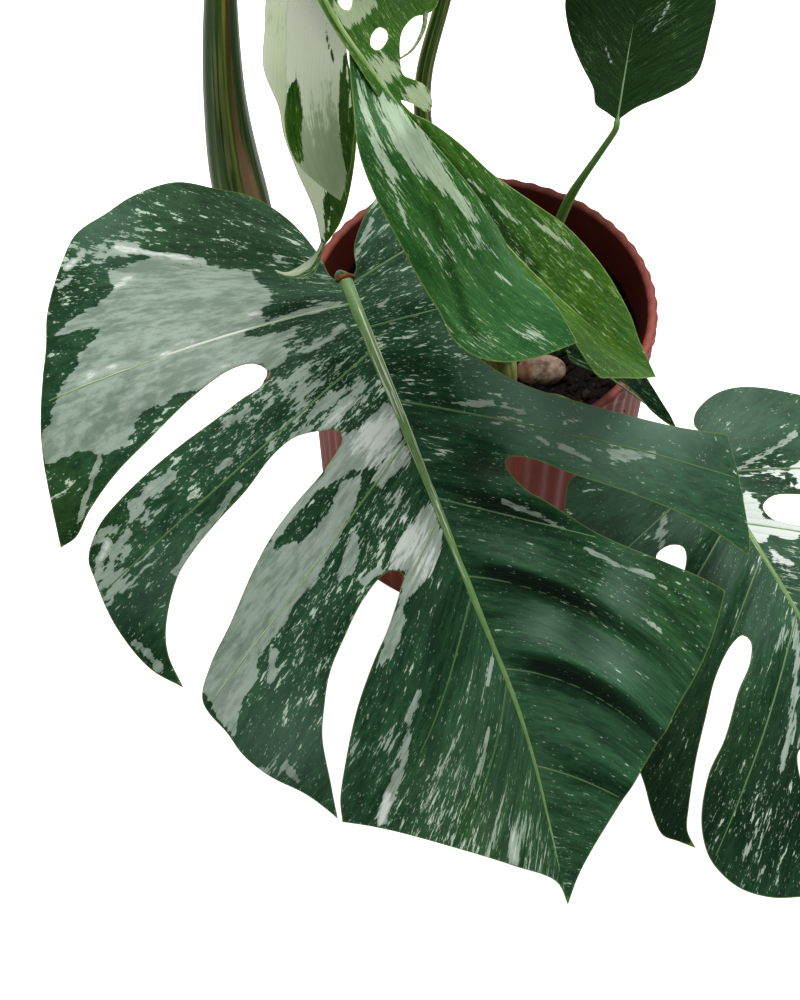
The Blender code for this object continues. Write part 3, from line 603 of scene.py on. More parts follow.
def grainOf(leaf, place, sides):
    # where the marbling's noise is read: along the side veins, or straight along a leaf without any
    u, s, none = place[:, 0], place[:, 1], np.zeros(len(place))
    if "veinsRight" in leaf:
        lane = laneOf(leaf, u, s, sides)
        grain = [lane * bladeShape["laneWidth"] + bladeShape["laneShift"] * sides, np.abs(u), none]
    else:
        grain = [u * leaf["squeeze"], s, none]
    grain = np.stack(grain, -1) * leaf.get("finer", 1.0)
    grain[:, 2] = leaf["seed"] * bladeShape["seedShift"]
    return grain


def patternLayers(mesh, leaf, flat, edge, allFaces):
    # the marbling, with the painted shade and sheen, as attributes of the corners; under is 1 on the
    # lower face
    count = len(flat)
    corners = np.concatenate([np.array(f) for f in allFaces]) % count
    sizes = [len(f) for f in allFaces]
    # which half each face lies on, so that the pattern doesn't smear over the midrib
    sides = np.repeat([flat[np.array(f) % count, 0].mean() > 0 for f in allFaces], sizes)
    under = np.repeat([float(min(f) >= count) for f in allFaces], sizes)
    pale = np.max([sectorShare(flat, leaf.get("sectors", [])),
                   streakShare(flat, leaf.get("streaks", [])),
                   cloudShare(flat, leaf.get("paleClouds", []), 0.0)], axis=0)
    speckle = cloudShare(flat, leaf.get("clouds", []), leaf["speckle"])
    warm = cloudShare(flat, leaf.get("warmClouds", []), leaf["warmth"])
    cream = np.maximum(cloudShare(flat, leaf.get("creamClouds", []), leaf["creamness"]),
                       streakShare(flat, leaf.get("creamStreaks", [])))
    layers = {"grain": grainOf(leaf, flat[corners], sides),
              "marks": np.stack([pale, speckle, edge], -1)[corners],
              "tint": np.stack([warm[corners], cream[corners], under], -1)}
    for title, values in layers.items():
        layer = mesh.attributes.new(title, "FLOAT_VECTOR", "CORNER")
        layer.data.foreach_set("vector", values.astype(np.float32).ravel())
    layer = mesh.attributes.new("shade", "FLOAT", "CORNER")
    layer.data.foreach_set("value", shadeOf(leaf, flat)[corners].astype(np.float32))


def bladeMesh(name, leaf, spacing, hanging=None):
    # both faces and the rim of one blade or lobe, with its pattern
    surface = makeSurface(leaf)
    flat, faces, loops = flatBlade(leaf, spacing)
    points = surfaceAt(surface, flat[:, 0], flat[:, 1])
    if hanging:
        points = rootedOn(points, flat, leaf, surface, hanging)
    corners = points[faces]
    facing = np.cross(corners[:, 1] - corners[:, 0], corners[:, 2] - corners[:, 0])
    normals = np.zeros(points.shape)
    for i in range(3):
        np.add.at(normals, faces[:, i], facing)
    normals /= np.linalg.norm(normals, axis=1)[:, None]
    edge = np.min([distanceTo(flat, loop) for loop in loops], axis=0)
    thin = np.clip(bladeShape["edgeShare"] + edge / bladeShape["edgeReach"], 0, 1)[:, None]
    thin = 0.5 * bladeShape["thickness"] * thin
    top, bottom = points + normals * thin, points - normals * thin
    count = len(points)
    border = {(face[i], face[(i + 1) % 3]) for face in faces for i in range(3)}
    rim = [(a, b) for face in faces for a, b in zip(face, np.roll(face, -1)) if (b, a) not in border]
    allFaces = [tuple(f) for f in faces] + [tuple(f[::-1] + count) for f in faces]
    allFaces += [(b, a, a + count, b + count) for a, b in rim]
    mesh = bpy.data.meshes.new(name)
    mesh.from_pydata((np.vstack([top, bottom]) * mm).tolist(), [], allFaces)
    mesh.update()
    patternLayers(mesh, leaf, flat, edge, allFaces)
    return mesh, surface


def rootedOn(points, flat, lobe, surface, midrib):
    # bend a lobe's root on to the midrib that it grows from
    first = np.array(lobe["outline"][0][:2], float)
    last = np.array(lobe["outline"][-1][:2], float)
    root = last - first
    share = np.clip((flat - first) @ root / (root @ root), 0, 1)
    nearest = first + share[:, None] * root
    start, stop = lobe["root"]
    seat = readAlong(midrib, midrib["curve"], start + share * (stop - start))
    shift = seat - surfaceAt(surface, nearest[:, 0], nearest[:, 1])
    near = np.clip(1 - np.linalg.norm(flat - nearest, axis=1) / bladeShape["rootReach"], 0, 1)
    return points + shift * (near * near * (3 - 2 * near))[:, None]


# Front leaf: split, dark green; the half with positive u has the pale sectors
frontLeaf = {
    "midrib": [(-81, -77, 300), (-72, -101, 293), (-45, -158, 259), (-12, -225, 211),
               (18, -288, 167), (41, -369, 118)],
    "fold": [(0, 12), (1, 8)], "curl": [(0, 3), (1, 3)],
    "swell": 2.2, "swellsLeft": [1, 1, 1.5, 5.5, 8, 8, 3, 2], "steep": 1.6, "steepLeft": 2.6,
    "seed": 1, "whiteVein": (1, 15),
    "midribLight": [(0, 0.0), (0.05, 0.2), (0.15, 0.4), (0.3, 0.3), (0.42, 0.1), (0.6, -0.3),
                    (1, 0)],
    "veinsRight": [(-30, -1.1), (0, -0.38), (15, 0.0), (44, 0.37), (96, 0.6), (142, 0.85),
                   (189, 1.2, 0.0), (240, 1.7, 0.0), (300, 2.4, 0.0)],
    "veinsLeft": [(-25, -0.9), (4, -0.25), (31, 0.1), (74, 0.62), (132, 0.7),
                  (179, 0.42, 0.0065), (234, 0.42, 0.0065), (290, 0.5, 0.004)],
    "outline": [
        (0, 0, 1), (7, -3), (10, -19), (17, -40), (26, -54), (36, -64), (53, -73), (73, -83),
        (99, -82), (115, -77), (135, -71), (148, -57), (164, -32), (171, -12), (183, 15),
        (192, 39), (197, 61), (201, 83, 1), (191, 81), (179, 71), (159, 59), (134, 49),
        (104, 38), (79, 32), (67, 33), (62, 38), (68, 44), (81, 47), (99, 52), (119, 57),
        (139, 63), (160, 71), (177, 80), (189, 94), (190, 105), (189, 132), (180, 161),
        (167, 177, 1), (168, 158), (164, 144), (149, 122), (136, 112), (118, 102), (97, 92),
        (77, 80), (62, 75), (49, 76), (39, 79), (37, 84), (52, 96), (75, 108), (93, 119),
        (110, 133), (132, 155), (149, 171), (160, 187), (154, 208), (151, 221), (142, 240),
        (127, 262), (113, 288, 1), (112, 266), (108, 230), (101, 214), (91, 198), (78, 185),
        (61, 170), (45, 161), (38, 161), (34, 165), (39, 173), (53, 189), (68, 203), (85, 222),
        (98, 244), (109, 274), (111, 291, 1), (92, 301), (59, 320), (26, 339), (3, 354),
        (0, 367, 1), (-11, 351), (-38, 323), (-81, 286), (-122, 258), (-143, 241, 1),
        (-134, 233), (-109, 212), (-81, 186), (-57, 157), (-48, 146), (-44, 131), (-47, 127),
        (-59, 132), (-78, 148), (-112, 174), (-145, 203), (-169, 231, 1), (-175, 224),
        (-185, 193), (-189, 162, 1), (-153, 146), (-104, 116), (-68, 89), (-53, 68), (-51, 53),
        (-48, 42), (-54, 37), (-69, 49), (-89, 62), (-108, 60), (-120, 44), (-119, 15),
        (-108, -16), (-89, -39), (-69, -51), (-47, -48), (-30, -40), (-19, -29), (-11, -17),
        (-7, -3)],
    "sectors": [
        {"loop": [(77, -30), (88, -37), (101, -43), (119, -43), (125, -39), (124, -32), (130, -28),
                  (140, -25), (152, -22), (163, -17), (150, -15), (140, -11), (145, -4), (154, -1),
                  (160, 6), (168, 10), (176, 18), (182, 24), (189, 29), (193, 36), (193, 43),
                  (184, 42), (172, 42), (164, 46), (158, 48), (145, 46), (139, 41), (125, 37),
                  (111, 35), (100, 38), (85, 34), (66, 34), (60, 40), (47, 36), (49, 28), (40, 26),
                  (38, 20), (56, 21), (66, 17), (56, 15.5), (40, 15), (22, 16), (8, 15), (8, 12),
                  (38, 12), (52, 11), (54, 7), (46, 5), (45, -2), (49, -10), (51, -17), (65, -23)],
         "soft": 7},
        {"loop": [(37, 82), (25, 82), (20, 79), (12, 76), (7, 73), (3, 75), (3, 96), (9, 100),
                  (15, 103), (28, 105), (39, 103), (50, 105), (62, 104), (52, 95), (39, 87)],
         "soft": 5},
        {"loop": [(3, 99), (10, 99), (22, 104), (30, 110), (27, 118), (14, 113), (5, 109)],
         "soft": 9},
        {"loop": [(70, 155), (60, 154), (52, 146), (49, 136), (52, 133), (60, 142), (66, 148)],
         "soft": 6},
        {"loop": [(36, 107), (48, 106), (56, 111), (55, 116), (68, 122), (80, 127), (95, 127),
                  (92, 119), (104, 127), (120, 142), (136, 157), (152, 172), (158, 181), (156, 198),
                  (151, 211), (145, 199), (139, 193), (130, 186), (125, 177), (114, 170), (102, 164),
                  (96, 158), (86, 154), (77, 147), (64, 138), (55, 130), (46, 122)], "soft": 6},
        {"loop": [(3, 132), (12, 137), (20, 142), (28, 146), (36, 152), (40, 159), (34, 163),
                  (38, 172), (52, 188), (66, 204), (70, 206), (58, 203), (48, 196), (42, 188),
                  (40, 181), (29, 175), (21, 171), (12, 165), (5, 157), (3, 151)], "soft": 6},
    ],
    "streaks": [
        ([(57, 101), (74, 110), (92, 119)], 3.0, 0.9),
        ([(188, 104), (182, 96), (176, 90)], 3.4, 0.8), ([(184, 88), (176, 84), (168, 84)], 3.2, 0.75),
        ([(176, 98), (170, 92), (163, 90)], 3.0, 0.75), ([(157, 77), (144, 73), (131, 70)], 3.5, 0.85),
        ([(107, 76), (98, 74)], 3.0, 0.75), ([(96, 56), (78, 53)], 3.0, 0.75),
        ([(100, 88), (112, 95), (124, 103), (136, 111), (148, 118)], 3.2, 0.9),
        ([(183, 144), (178, 152), (175, 163)], 3.4, 0.85), ([(50, 67), (40, 63), (32, 62)], 3.0, 0.85),
        ([(46, 77), (36, 72), (24, 67)], 3.5, 0.9), ([(62, 75), (52, 73)], 3.0, 0.85),
        ([(56, 160), (46, 158)], 3.0, 0.75), ([(122, 190), (115, 177)], 3.0, 0.75),
        ([(50, 227), (60, 238), (66, 250), (70, 262), (76, 272)], 2.8, 0.72),
        ([(76, 270), (83, 280), (90, 297)], 4.4, 0.85), ([(21, 262), (26, 274), (33, 284)], 2.8, 0.6),
        ([(22, 316), (24, 337)], 3.2, 0.7), ([(4, 226), (12, 238)], 2.0, 0.7),
        ([(132, 238), (128, 251)], 3.0, 0.9), ([(60, 280), (66, 296)], 1.8, 0.6),
        ([(-34, 148), (-50, 162), (-62, 175)], 2.6, 0.75),
        ([(-70, 190), (-84, 206), (-102, 220)], 2.4, 0.68),
        ([(-84, 236), (-93, 247)], 1.8, 0.6), ([(-22, 84), (-38, 92), (-50, 96)], 2.2, 0.6),
        ([(-104, 225), (-112, 232)], 2.6, 0.6),
        ([(116, -55), (106, -48), (94, -42), (84, -36), (74, -31)], 3.2, 0.9),
        ([(154, -43), (146, -46)], 3.0, 0.75), ([(146, -53), (136, -57)], 3.0, 0.75),
        ([(36, -22), (22, -12), (8, -2)], 2.6, 0.35), ([(36, 36), (22, 32), (12, 27)], 3.0, 0.75),
        ([(162, 48), (172, 58), (180, 66), (188, 76)], 2.2, 0.8),
        ([(-78, 132), (-96, 150)], 2.4, 0.75), ([(-108, 148), (-132, 156)], 3.4, 0.85),
        ([(-56, 100), (-66, 108)], 2.0, 0.65), ([(-60, 112), (-72, 128)], 2.0, 0.62),
        ([(-9, -10), (-26, -30)], 2.2, 0.8), ([(-12, 22), (-32, 14)], 2.4, 0.6),
    ],
    "paleClouds": [(140, 236, 16, 0.44), (186, 130, 16, 0.46), (44, 50, 26, 0.44),
                   (80, 66, 26, 0.42), (120, -54, 24, 0.46), (182, 104, 18, 0.5),
                   (40, 275, 34, 0.3), (26, 322, 22, 0.38), (34, 30, 14, 0.48),
                   (168, -36, 14, 0.42), (86, 250, 22, 0.42), (92, 190, 30, 0.38), (150, 78, 20, 0.4),
                   (22, 128, 16, 0.4), (160, 120, 18, 0.4), (-16, -24, 18, 0.44), (-50, 110, 16, 0.36),
                   (20, 60, 16, 0.46), (-110, 150, 16, 0.38)],
    "speckle": 0.30,
    "clouds": [(145, -48, 22, 0.62), (100, -62, 30, 0.42), (40, -35, 40, 0.36),
               (50, 300, 50, 0.8), (125, 225, 26, 0.2),
               (20, 320, 40, 0.74), (20, 240, 30, 0.6), (66, 222, 30, 0.12), (96, 252, 18, 0.15),
               (30, 195, 22, 0.12), (-95, 240, 24, 0.4), (-45, 160, 18, 0.42),
               (-25, 205, 34, 0.1), (182, 104, 22, 0.7), (150, 100, 30, 0.35),
               (90, 62, 40, 0.62), (30, 62, 30, 0.85), (90, 190, 50, 0.6), (50, 140, 30, 0.7),
               (130, 40, 22, 0.5), (-40, 20, 50, 0.5), (-90, 130, 50, 0.28), (-50, 260, 90, 0.06),
               (-70, 215, 30, 0.35), (-120, 225, 30, 0.45), (-150, 190, 40, 0.1)],
    # shade clouds are painted shade, and sheen clouds a painted sheen
    "shadeClouds": [(30, 186, 22, 0.6), (160, -34, 18, 0.5), (196, 70, 24, 0.5), (172, 6, 14, 0.4),
                    (175, 165, 20, 0.4), (60, 210, 26, 0.3), (70, 112, 18, 0.4), (-30, 126, 14, 0.8),
                    (60, -45, 30, 0.5), (-20, 66, 14, 0.6),
                    (-60, 200, 14, 0.4), (-66, 150, 14, 0.3)],
    "sheenClouds": [(-95, 96, 44, 1.0), (-150, 110, 50, 0.9), (-70, 40, 34, 0.3), (-90, 172, 16, 0.35),
                    (-78, 220, 16, 0.3), (120, -72, 24, 0.3), (150, 130, 24, 0.2),
                    (125, 225, 30, 0.3), (40, 300, 44, 0.08), (-60, 250, 16, 0.3), (-34, 218, 12, 0.3)],
    "warmth": 0.05,
    "warmClouds": [(60, -45, 40, 0.3), (40, 310, 44, 0.35), (-110, 235, 35, 0.25),
                   (-90, 160, 40, 0.2), (196, 70, 30, 0.5)],
    "creamness": 0.02,
    "creamClouds": [(20, 92, 26, 0.66), (24, 155, 26, 0.62), (74, 130, 16, 0.3), (150, 195, 16, 0.3),
                    (90, 24, 26, 0.22)],
    "creamStreaks": [
        ([(84, 281), (90, 297)], 4.6, 0.6), ([(22, 322), (24, 336)], 2.6, 0.4),
        ([(116, -55), (106, -48), (94, -42), (84, -36), (74, -31)], 3.2, 0.58),
        ([(124, -32), (114, -34)], 3.4, 0.47), ([(154, -43), (146, -46)], 3.0, 0.47),
        ([(146, -53), (136, -57)], 3.0, 0.47), ([(157, 12), (146, 9), (136, 11)], 3.2, 0.47),
        ([(134, 12), (124, 16), (116, 17)], 3.2, 0.47), ([(112, 15), (102, 12), (94, 13)], 3.4, 0.55),
        ([(141, 32), (128, 25)], 3.0, 0.39), ([(98, 34), (84, 29), (66, 31)], 3.4, 0.39),
        ([(110, 0), (120, 5), (134, 4)], 3.0, 0.35), ([(60, 8), (52, 9)], 3.0, 0.47),
        ([(3, 60), (4, 150)], 3.0, 0.39), ([(46, 77), (36, 72), (24, 67)], 3.5, 0.47),
        ([(188, 104), (182, 96), (176, 90)], 3.4, 0.47), ([(157, 77), (144, 73)], 3.5, 0.39)],
    "reach": 205,
}
# Right-hand leaf: split, dark green, cut by the photo's edge and finished plainly
rightLeaf = {
    "midrib": [(136, -92, 152), (176, -165, 131), (222, -245, 96), (268, -335, 50)],
    "fold": [(0, 10), (1, 8)], "curl": [(0, 2.5), (1, 2.5)],
    "swell": 1.8, "steep": 1.5, "seed": 2,
    "veinsRight": [(-15, -0.6), (8, 0.3), (36, 0.6), (68, 0.75), (108, 0.9), (160, 1.1),
                   (210, 1.3)],
    "veinsLeft": [(-15, -0.6), (8, 0.45), (45, 0.75), (90, 0.9), (140, 1.1), (190, 1.2)],
    "outline": [
        (0, 0, 1), (9, 1), (15, -12), (25, -22), (44, -25), (70, -24), (85, -23), (94, -13),
        (107, 9), (118, 38), (127, 74), (134, 118), (137, 152), (141, 174), (141, 189),
        (135, 196), (127, 205, 1), (127, 193), (120, 180), (104, 157), (86, 137), (69, 120),
        (50, 108), (40, 106), (38, 111), (46, 122), (61, 133), (83, 154), (101, 168),
        (117, 191), (122, 211), (120, 224), (113, 238), (99, 250), (80, 258), (54, 267, 1),
        (55, 246), (55, 221), (52, 193), (46, 181), (38, 180), (35, 201), (35, 236),
        (29, 265), (16, 282), (0, 296, 1), (-13, 282), (-30, 258), (-47, 234), (-52, 214, 1),
        (-44, 198), (-29, 175), (-20, 154), (-20, 137), (-32, 138), (-47, 158), (-67, 178),
        (-83, 187, 1), (-93, 165), (-100, 142), (-99, 121), (-82, 98), (-53, 79), (-30, 63),
        (-17, 51), (-16, 42), (-25, 39), (-41, 46), (-68, 61), (-97, 76), (-121, 82, 1),
        (-130, 63), (-126, 39), (-108, 12), (-77, -12), (-57, -27), (-43, -34), (-31, -36),
        (-19, -34), (-11, -30), (-7, -24), (-9, -14), (-10, 1)],
    "holes": [[(62, 42), (51, 40), (45, 44), (46, 50), (54, 59), (63, 62), (66, 53)]],
    "sectors": [
        {"loop": [(0, 42), (-4, 34), (-12, 29), (-15, 38), (-14, 48), (-17, 53), (-26, 56), (-36, 68),
                  (-22, 68), (-11, 60), (-3, 62), (0, 54)], "soft": 5},
        {"loop": [(-44, 29), (-57, 25), (-78, 36), (-114, 58), (-114, 78), (-70, 61), (-48, 48),
                  (-43, 41)], "soft": 5},
    ],
    "streaks": [
        ([(-15, 14), (-36, 13), (-60, 10)], 2.6, 0.75),
        ([(-13, 17), (-24, 22), (-36, 29), (-42, 42)], 1.3, 0.85),
        ([(-6, 70), (-12, 82)], 3.0, 0.6), ([(57, 39), (50, 28), (44, 21)], 4.0, 0.6),
        ([(4, 112), (14, 128), (30, 150), (46, 170), (60, 185)], 4.2, 0.62),
        ([(-4, 74), (-10, 90)], 2.2, 0.6), ([(-20, 110), (-60, 140)], 2.6, 0.6),
    ],
    "paleClouds": [(6, 74, 14, 0.44), (-34, 24, 16, 0.46), (20, 120, 14, 0.4), (50, 180, 18, 0.42),
                   (16, 250, 22, 0.44), (-60, 150, 26, 0.42), (105, 225, 22, 0.40)],
    "speckle": 0.20,
    "clouds": [(85, 210, 34, 0.5), (20, 60, 34, 0.22), (-45, -12, 30, 0.15), (-28, 28, 22, 0.42),
               (-8, 84, 16, 0.6), (-60, 130, 50, 0.5), (60, 150, 40, 0.25)],
    # painted sheen all over, painted shade on the lower lobes, and painted sheen where a shade cloud is
    # below 0
    "shadeness": -0.1,
    "shadeClouds": [(36, 96, 30, -0.25), (60, 215, 60, 0.9), (110, 150, 50, 0.6),
                    (125, 185, 30, 0.9), (75, 95, 26, 0.2), (-30, 31, 13, 0.5)],
    "sheenClouds": [(30, -8, 26, 0.25), (-30, -15, 30, 0.2)],
    "warmth": 0.05,
    "warmClouds": [(100, 150, 40, 0.3)],
    "creamness": 0.1,
    "creamClouds": [(-22, 50, 34, 1.1), (-80, 66, 40, 0.9)],
    "reach": 140,
}
# Back leaf: a smaller sister of the front one, mirrored over its midrib
backShare = 0.72


def mirrored(points):
    return [(-backShare * point[0], backShare * point[1], *point[2:]) for point in points]


backLeaf = dict(
    frontLeaf, midrib=[(8, 138, 498), (30, 190, 492), (60, 245, 460), (85, 300, 405),
                       (98, 345, 345)],
    swell=1.5, swellsLeft=[1.5], seed=3, reach=150,
    veinsRight=[(backShare * vein[0], vein[1]) for vein in frontLeaf["veinsLeft"]],
    veinsLeft=[(backShare * vein[0], vein[1]) for vein in frontLeaf["veinsRight"]],
    outline=mirrored(frontLeaf["outline"]),
    sectors=[dict(sector, loop=mirrored(sector["loop"])) for sector in frontLeaf["sectors"]],
    shadeClouds=[], sheenClouds=[])
for name in ("streaks", "creamStreaks"):
    backLeaf[name] = [(mirrored(path), *rest) for path, *rest in frontLeaf[name]]
for name in ("clouds", "paleClouds", "warmClouds", "creamClouds"):
    backLeaf[name] = [(-backShare * x, backShare * y, backShare * reach, amount)
                      for x, y, reach, amount in frontLeaf[name]]
# Young arching leaf: its far half and its tip
archingLeaf = {
    "midrib": [(-104, -30, 505), (-83, -57, 470), (-57, -71, 434), (-30, -86, 398),
               (13, -104, 346), (59, -113, 296), (93, -115, 262)],
    "foldLeft": [(0, 5), (0.35, 5), (0.6, 18), (1, 22)],
    "foldRight": [(0, 0), (0.35, 4), (0.6, 14), (1, 10)],
    "curlLeft": [(0, 1), (1, 1)], "curlRight": [(0, 2), (1, 2)],
    "outline": [
        (4, 0, 1), (-6, 0, 1), (-20, -8), (-45, -2), (-66, 18), (-77, 50), (-76, 76), (-62, 87),
        (-53, 86), (-43, 81), (-31, 81), (-21, 88), (-15, 96), (-18, 101), (-22, 108),
        (-22, 114), (-18, 119), (-13, 119, 1), (-9, 110), (-4, 104), (-5, 112), (-12, 125),
        (-18, 144), (-22, 170), (-29, 198), (-36, 230), (-34, 267), (-23, 297), (-12, 311),
        (0, 330, 1), (12, 314), (22, 299), (31, 286), (37, 277), (34, 271), (28, 263),
        (21, 253), (16, 242), (13, 211), (10, 167), (7, 122), (7, 90), (4, 62)],
    "holes": [[(-20, 69), (-23, 74), (-21, 77), (-14, 78), (-10, 76), (-9, 73), (-13, 69)],
              [(-6, 43), (-10, 40), (-14, 46), (-10, 50), (-7, 48)]],
    "seed": 4, "squeeze": 1.8, "finer": 1.4,
    "sectors": [{"loop": [(-1, 42), (-14, 46), (-27, 50), (-24, 58), (-10, 58), (-1, 56)]},
                {"loop": [(-1, 78), (-10, 80), (-20, 92), (-16, 94), (-6, 92), (-1, 96)], "soft": 14},
                {"loop": [(-6, 103), (-16, 102), (-22, 108), (-22, 114), (-17, 120), (-8, 114)]},
                {"loop": [(-30, -4), (-46, 2), (-60, 16), (-70, 44), (-58, 40), (-44, 22)]}],
    "streaks": [([(-22, 205), (-29, 240)], 2.0, 0.75), ([(-14, 140), (-17, 160)], 1.4, 0.6),
                ([(-24, 245), (-22, 275)], 1.6, 0.6), ([(-8, 160), (-14, 200)], 1.6, 0.7),
                ([(-2, 262), (-6, 290)], 1.2, 0.5)],
    "speckle": 0.40, "clouds": [(0, 310, 30, 0.3), (-25, 230, 20, 0.62), (-4, 150, 16, 0.25)],
    "warmth": 0.9, "warmClouds": [(0, 180, 26, 0.3), (-10, 290, 40, 1.0), (-40, 60, 40, 0.9),
                                  (27, 278, 22, 1.0)],
    # painted shade on the flap's lower end, and a painted shadow along the edge where the front lobe
    # meets the blade
    "shadeClouds": [(27, 278, 24, 0.5)],
    "creamness": 0.0,
    "shadeStreaks": [([(-2, 118), (-4, 150), (-5, 175), (-4, 200), (-2, 225)], 5.0, 0.95)],
}
# Its lobes: root says between which places along the midrib a lobe hangs; the last is a torn tip
archingLobes = [
    {"midrib": [(-73, -61, 458), (-57, -97, 434), (-30, -122, 399), (1, -144, 363),
                (42, -153, 334)],
     "foldLeft": [(0, 5), (0.3, 12), (1, 12)], "foldRight": [(0, -5), (1, -5)],
     "curlLeft": [(0, 3), (0.3, 20), (0.8, 26), (1, 12)], "curlRight": [(0, 4), (1, 4)],
     "root": (91, 62), "seed": 5, "squeeze": 1.8, "finer": 1.25,
     "outline": [(-7, 30, 1), (-16, 54), (-22, 75), (-26, 95), (-28, 111), (-31, 137),
                 (-32, 154), (-25, 168), (-16, 182), (-1, 200, 1), (11, 189), (23, 177),
                 (33, 164), (38, 153), (38, 143), (33, 132), (29, 104), (24, 70), (18, 48),
                 (11, 30), (5, 2, 1)],
     "sectors": [{"loop": [(-1, 19), (-6, 34), (-12, 44), (-18, 55), (-17, 72), (-16, 86),
                           (-17, 97), (-19, 114), (-14, 112), (-10, 97), (-5, 81), (-1, 68),
                           (0, 50)], "soft": 9},
                 {"loop": [(4, 12), (7, 32), (10, 52), (12, 68), (8, 70), (6, 56), (5, 36)],
                  "soft": 12}],
     "streaks": [([(15, 96), (16, 124)], 1.6, 0.6), ([(24, 146), (30, 158)], 2.0, 0.4),
                 ([(-7, 140), (-9, 152)], 1.2, 0.7), ([(12, 150), (14, 182)], 1.4, 0.5),
                 ([(10, 60), (20, 92)], 1.2, 0.6), ([(-22, 84), (-27, 128)], 1.0, 0.6),
                 ([(-11, 118), (-14, 136)], 1.4, 0.7)],
     "paleClouds": [(14, 112, 9, 0.33), (28, 152, 12, 0.38), (-7, 119, 13, 0.46),
                    (6, 176, 10, 0.4)],
     "speckle": 0.30, "clouds": [(26, 155, 10, 0.6), (10, 60, 20, 0.42), (-16, 150, 24, 0.22)],
     "warmth": 0.15, "warmClouds": [(8, 185, 40, 0.0), (-5, 90, 20, 0.4)],
     # painted shade, and painted shade along its creases
     "shadeClouds": [(30, 60, 20, 0.35), (36, 110, 14, 0.4)],
     "shadeStreaks": [([(2, 92), (10, 116), (20, 136), (28, 148)], 3.0, 0.75),
                      ([(31, 92), (35, 116), (38, 140)], 4.5, 0.7)],
     "creamness": 0.1},
    {"midrib": [(-98, -41, 494), (-104, -50, 437), (-102, -63, 386), (-93, -81, 330)],
     "fold": [(0, 0), (1, 0)], "curl": [(0, 8), (1, 8)],
     "root": (12, 32), "seed": 6, "squeeze": 1.6,
     "outline": [(4, -8, 1), (21, 25), (18, 48), (17, 64), (10, 84), (9, 99), (5, 121),
                 (0, 147), (0, 170, 1), (-14, 159), (-27, 135), (-32, 109), (-27, 72),
                 (-22, 29), (-10, 12, 1)],
     "sectors": [{"loop": [(34, -12), (34, 50), (22, 76), (12, 92), (8, 120), (4, 150), (-1, 166),
                           (-5, 150), (-8, 140), (-18, 128), (-23, 92), (-21, 40), (-10, -12)],
                  "soft": 6}],
     "streaks": [([(-10, 148), (-5, 162)], 0.9, 0.8)],
     "speckle": 0.3, "warmth": 1.0,
     "creamness": 0.8, "creamClouds": [(12, 75, 22, 1.3), (-1, 145, 22, 1.3), (16, 40, 18, 0.6)]},
    {"midrib": [(-87, -55, 477), (-92, -64, 443), (-91, -74, 408), (-82, -86, 372)],
     "fold": [(0, 0), (1, 0)], "curl": [(0, 8), (1, 8)],
     "root": (36, 60), "seed": 7, "squeeze": 1.6,
     "outline": [(7, -10, 1), (22, 2), (18, 30), (16, 51), (18, 61), (17, 80), (6, 102),
                 (0, 111, 1), (-12, 96), (-19, 77), (-18, 53), (-16, 26), (-15, 10, 1)],
     "sectors": [{"loop": [(24, -12), (-12, -12), (-16, 14), (-11, 40), (-10, 70), (-9, 98),
                           (0, 116), (12, 104), (22, 80), (20, 40), (26, 0)], "soft": 3},
                 {"loop": [(-1, 4), (-5, 14), (-10, 30), (-12, 40), (-8, 28), (-3, 16)],
                  "soft": 3, "dark": True},
                 {"loop": [(10, 42), (13, 44), (19, 58), (21, 76), (18, 84), (13, 82), (11, 70),
                           (8, 58)], "soft": 2.5, "dark": True}],
     "streaks": [([(-14, 16), (-17, 60)], 0.9, 0.8)],
     "speckle": 0.35, "warmth": 0.9,
     "creamness": 0.55, "creamClouds": [(4, 20, 30, 0.8), (4, 100, 30, 0.15)]},
    {"midrib": [(-92.5, -80, 334), (-95, -84, 329), (-98, -88, 326), (-102, -92, 325),
                (-108, -95, 325), (-113, -97, 327), (-118, -98, 331)],
     "fold": [(0, 0), (1, 0)], "curl": [(0, 12), (1, 12)], "seed": 8, "squeeze": 2.0,
     "outline": [(1.4, 0, 1), (1.8, 5), (3, 11), (4.4, 17), (3.6, 23), (2, 29), (1.6, 33),
                 (1, 37, 1), (-1, 36.5, 1), (-2.4, 31), (-4, 25), (-5.5, 18), (-4, 12),
                 (-2, 6), (-1.4, 0, 1)],
     "sectors": [{"loop": [(6, -2), (6, 40), (-1, 40), (-2, 24), (-1, 10), (-1, -2)], "soft": 3}],
     "speckle": 0.7, "warmth": 0.4, "creamness": 0.3},
]
# Small unsplit leaf over the rim, and the little one under the arching leaf's tip
smallLeaf = {
    "midrib": [(76, 32, 318), (84, 76, 325), (93, 124, 330), (101, 192, 318)],
    "fold": [(0, 10), (1, 10)], "curl": [(0, 4), (1, 4)],
    "seed": 9,
    "outline": [(0, 0, 1), (-7, 4), (-14, 8), (-17, 19), (-27, 36), (-36, 55), (-43, 82),
                (-39, 118), (-22, 152), (0, 185, 1), (21, 158), (41, 128), (47, 100), (46, 73),
                (43, 41), (38, 31), (24, 19), (10, 10)],
    "veinsRight": [(-20, 0.2), (4, 0.75), (22, 0.95), (44, 1.05), (70, 1.15), (100, 1.2), (130, 1.3)],
    "veinsLeft": [(-20, 0.2), (4, 0.8), (22, 1.0), (46, 1.1), (74, 1.15), (104, 1.2), (134, 1.3)],
    "streaks": [([(12, 64), (20, 92)], 1.4, 0.6), ([(-8, 36), (-14, 52)], 1.2, 0.55)],
    "finer": 1.9, "speckle": 0.2, "clouds": [(16, 78, 16, 0.62), (-26, 45, 18, 0.5)],
    # shadeness: painted shade over the whole leaf
    "warmth": 0.25, "creamness": 0.0, "shadeness": 0.35,
}
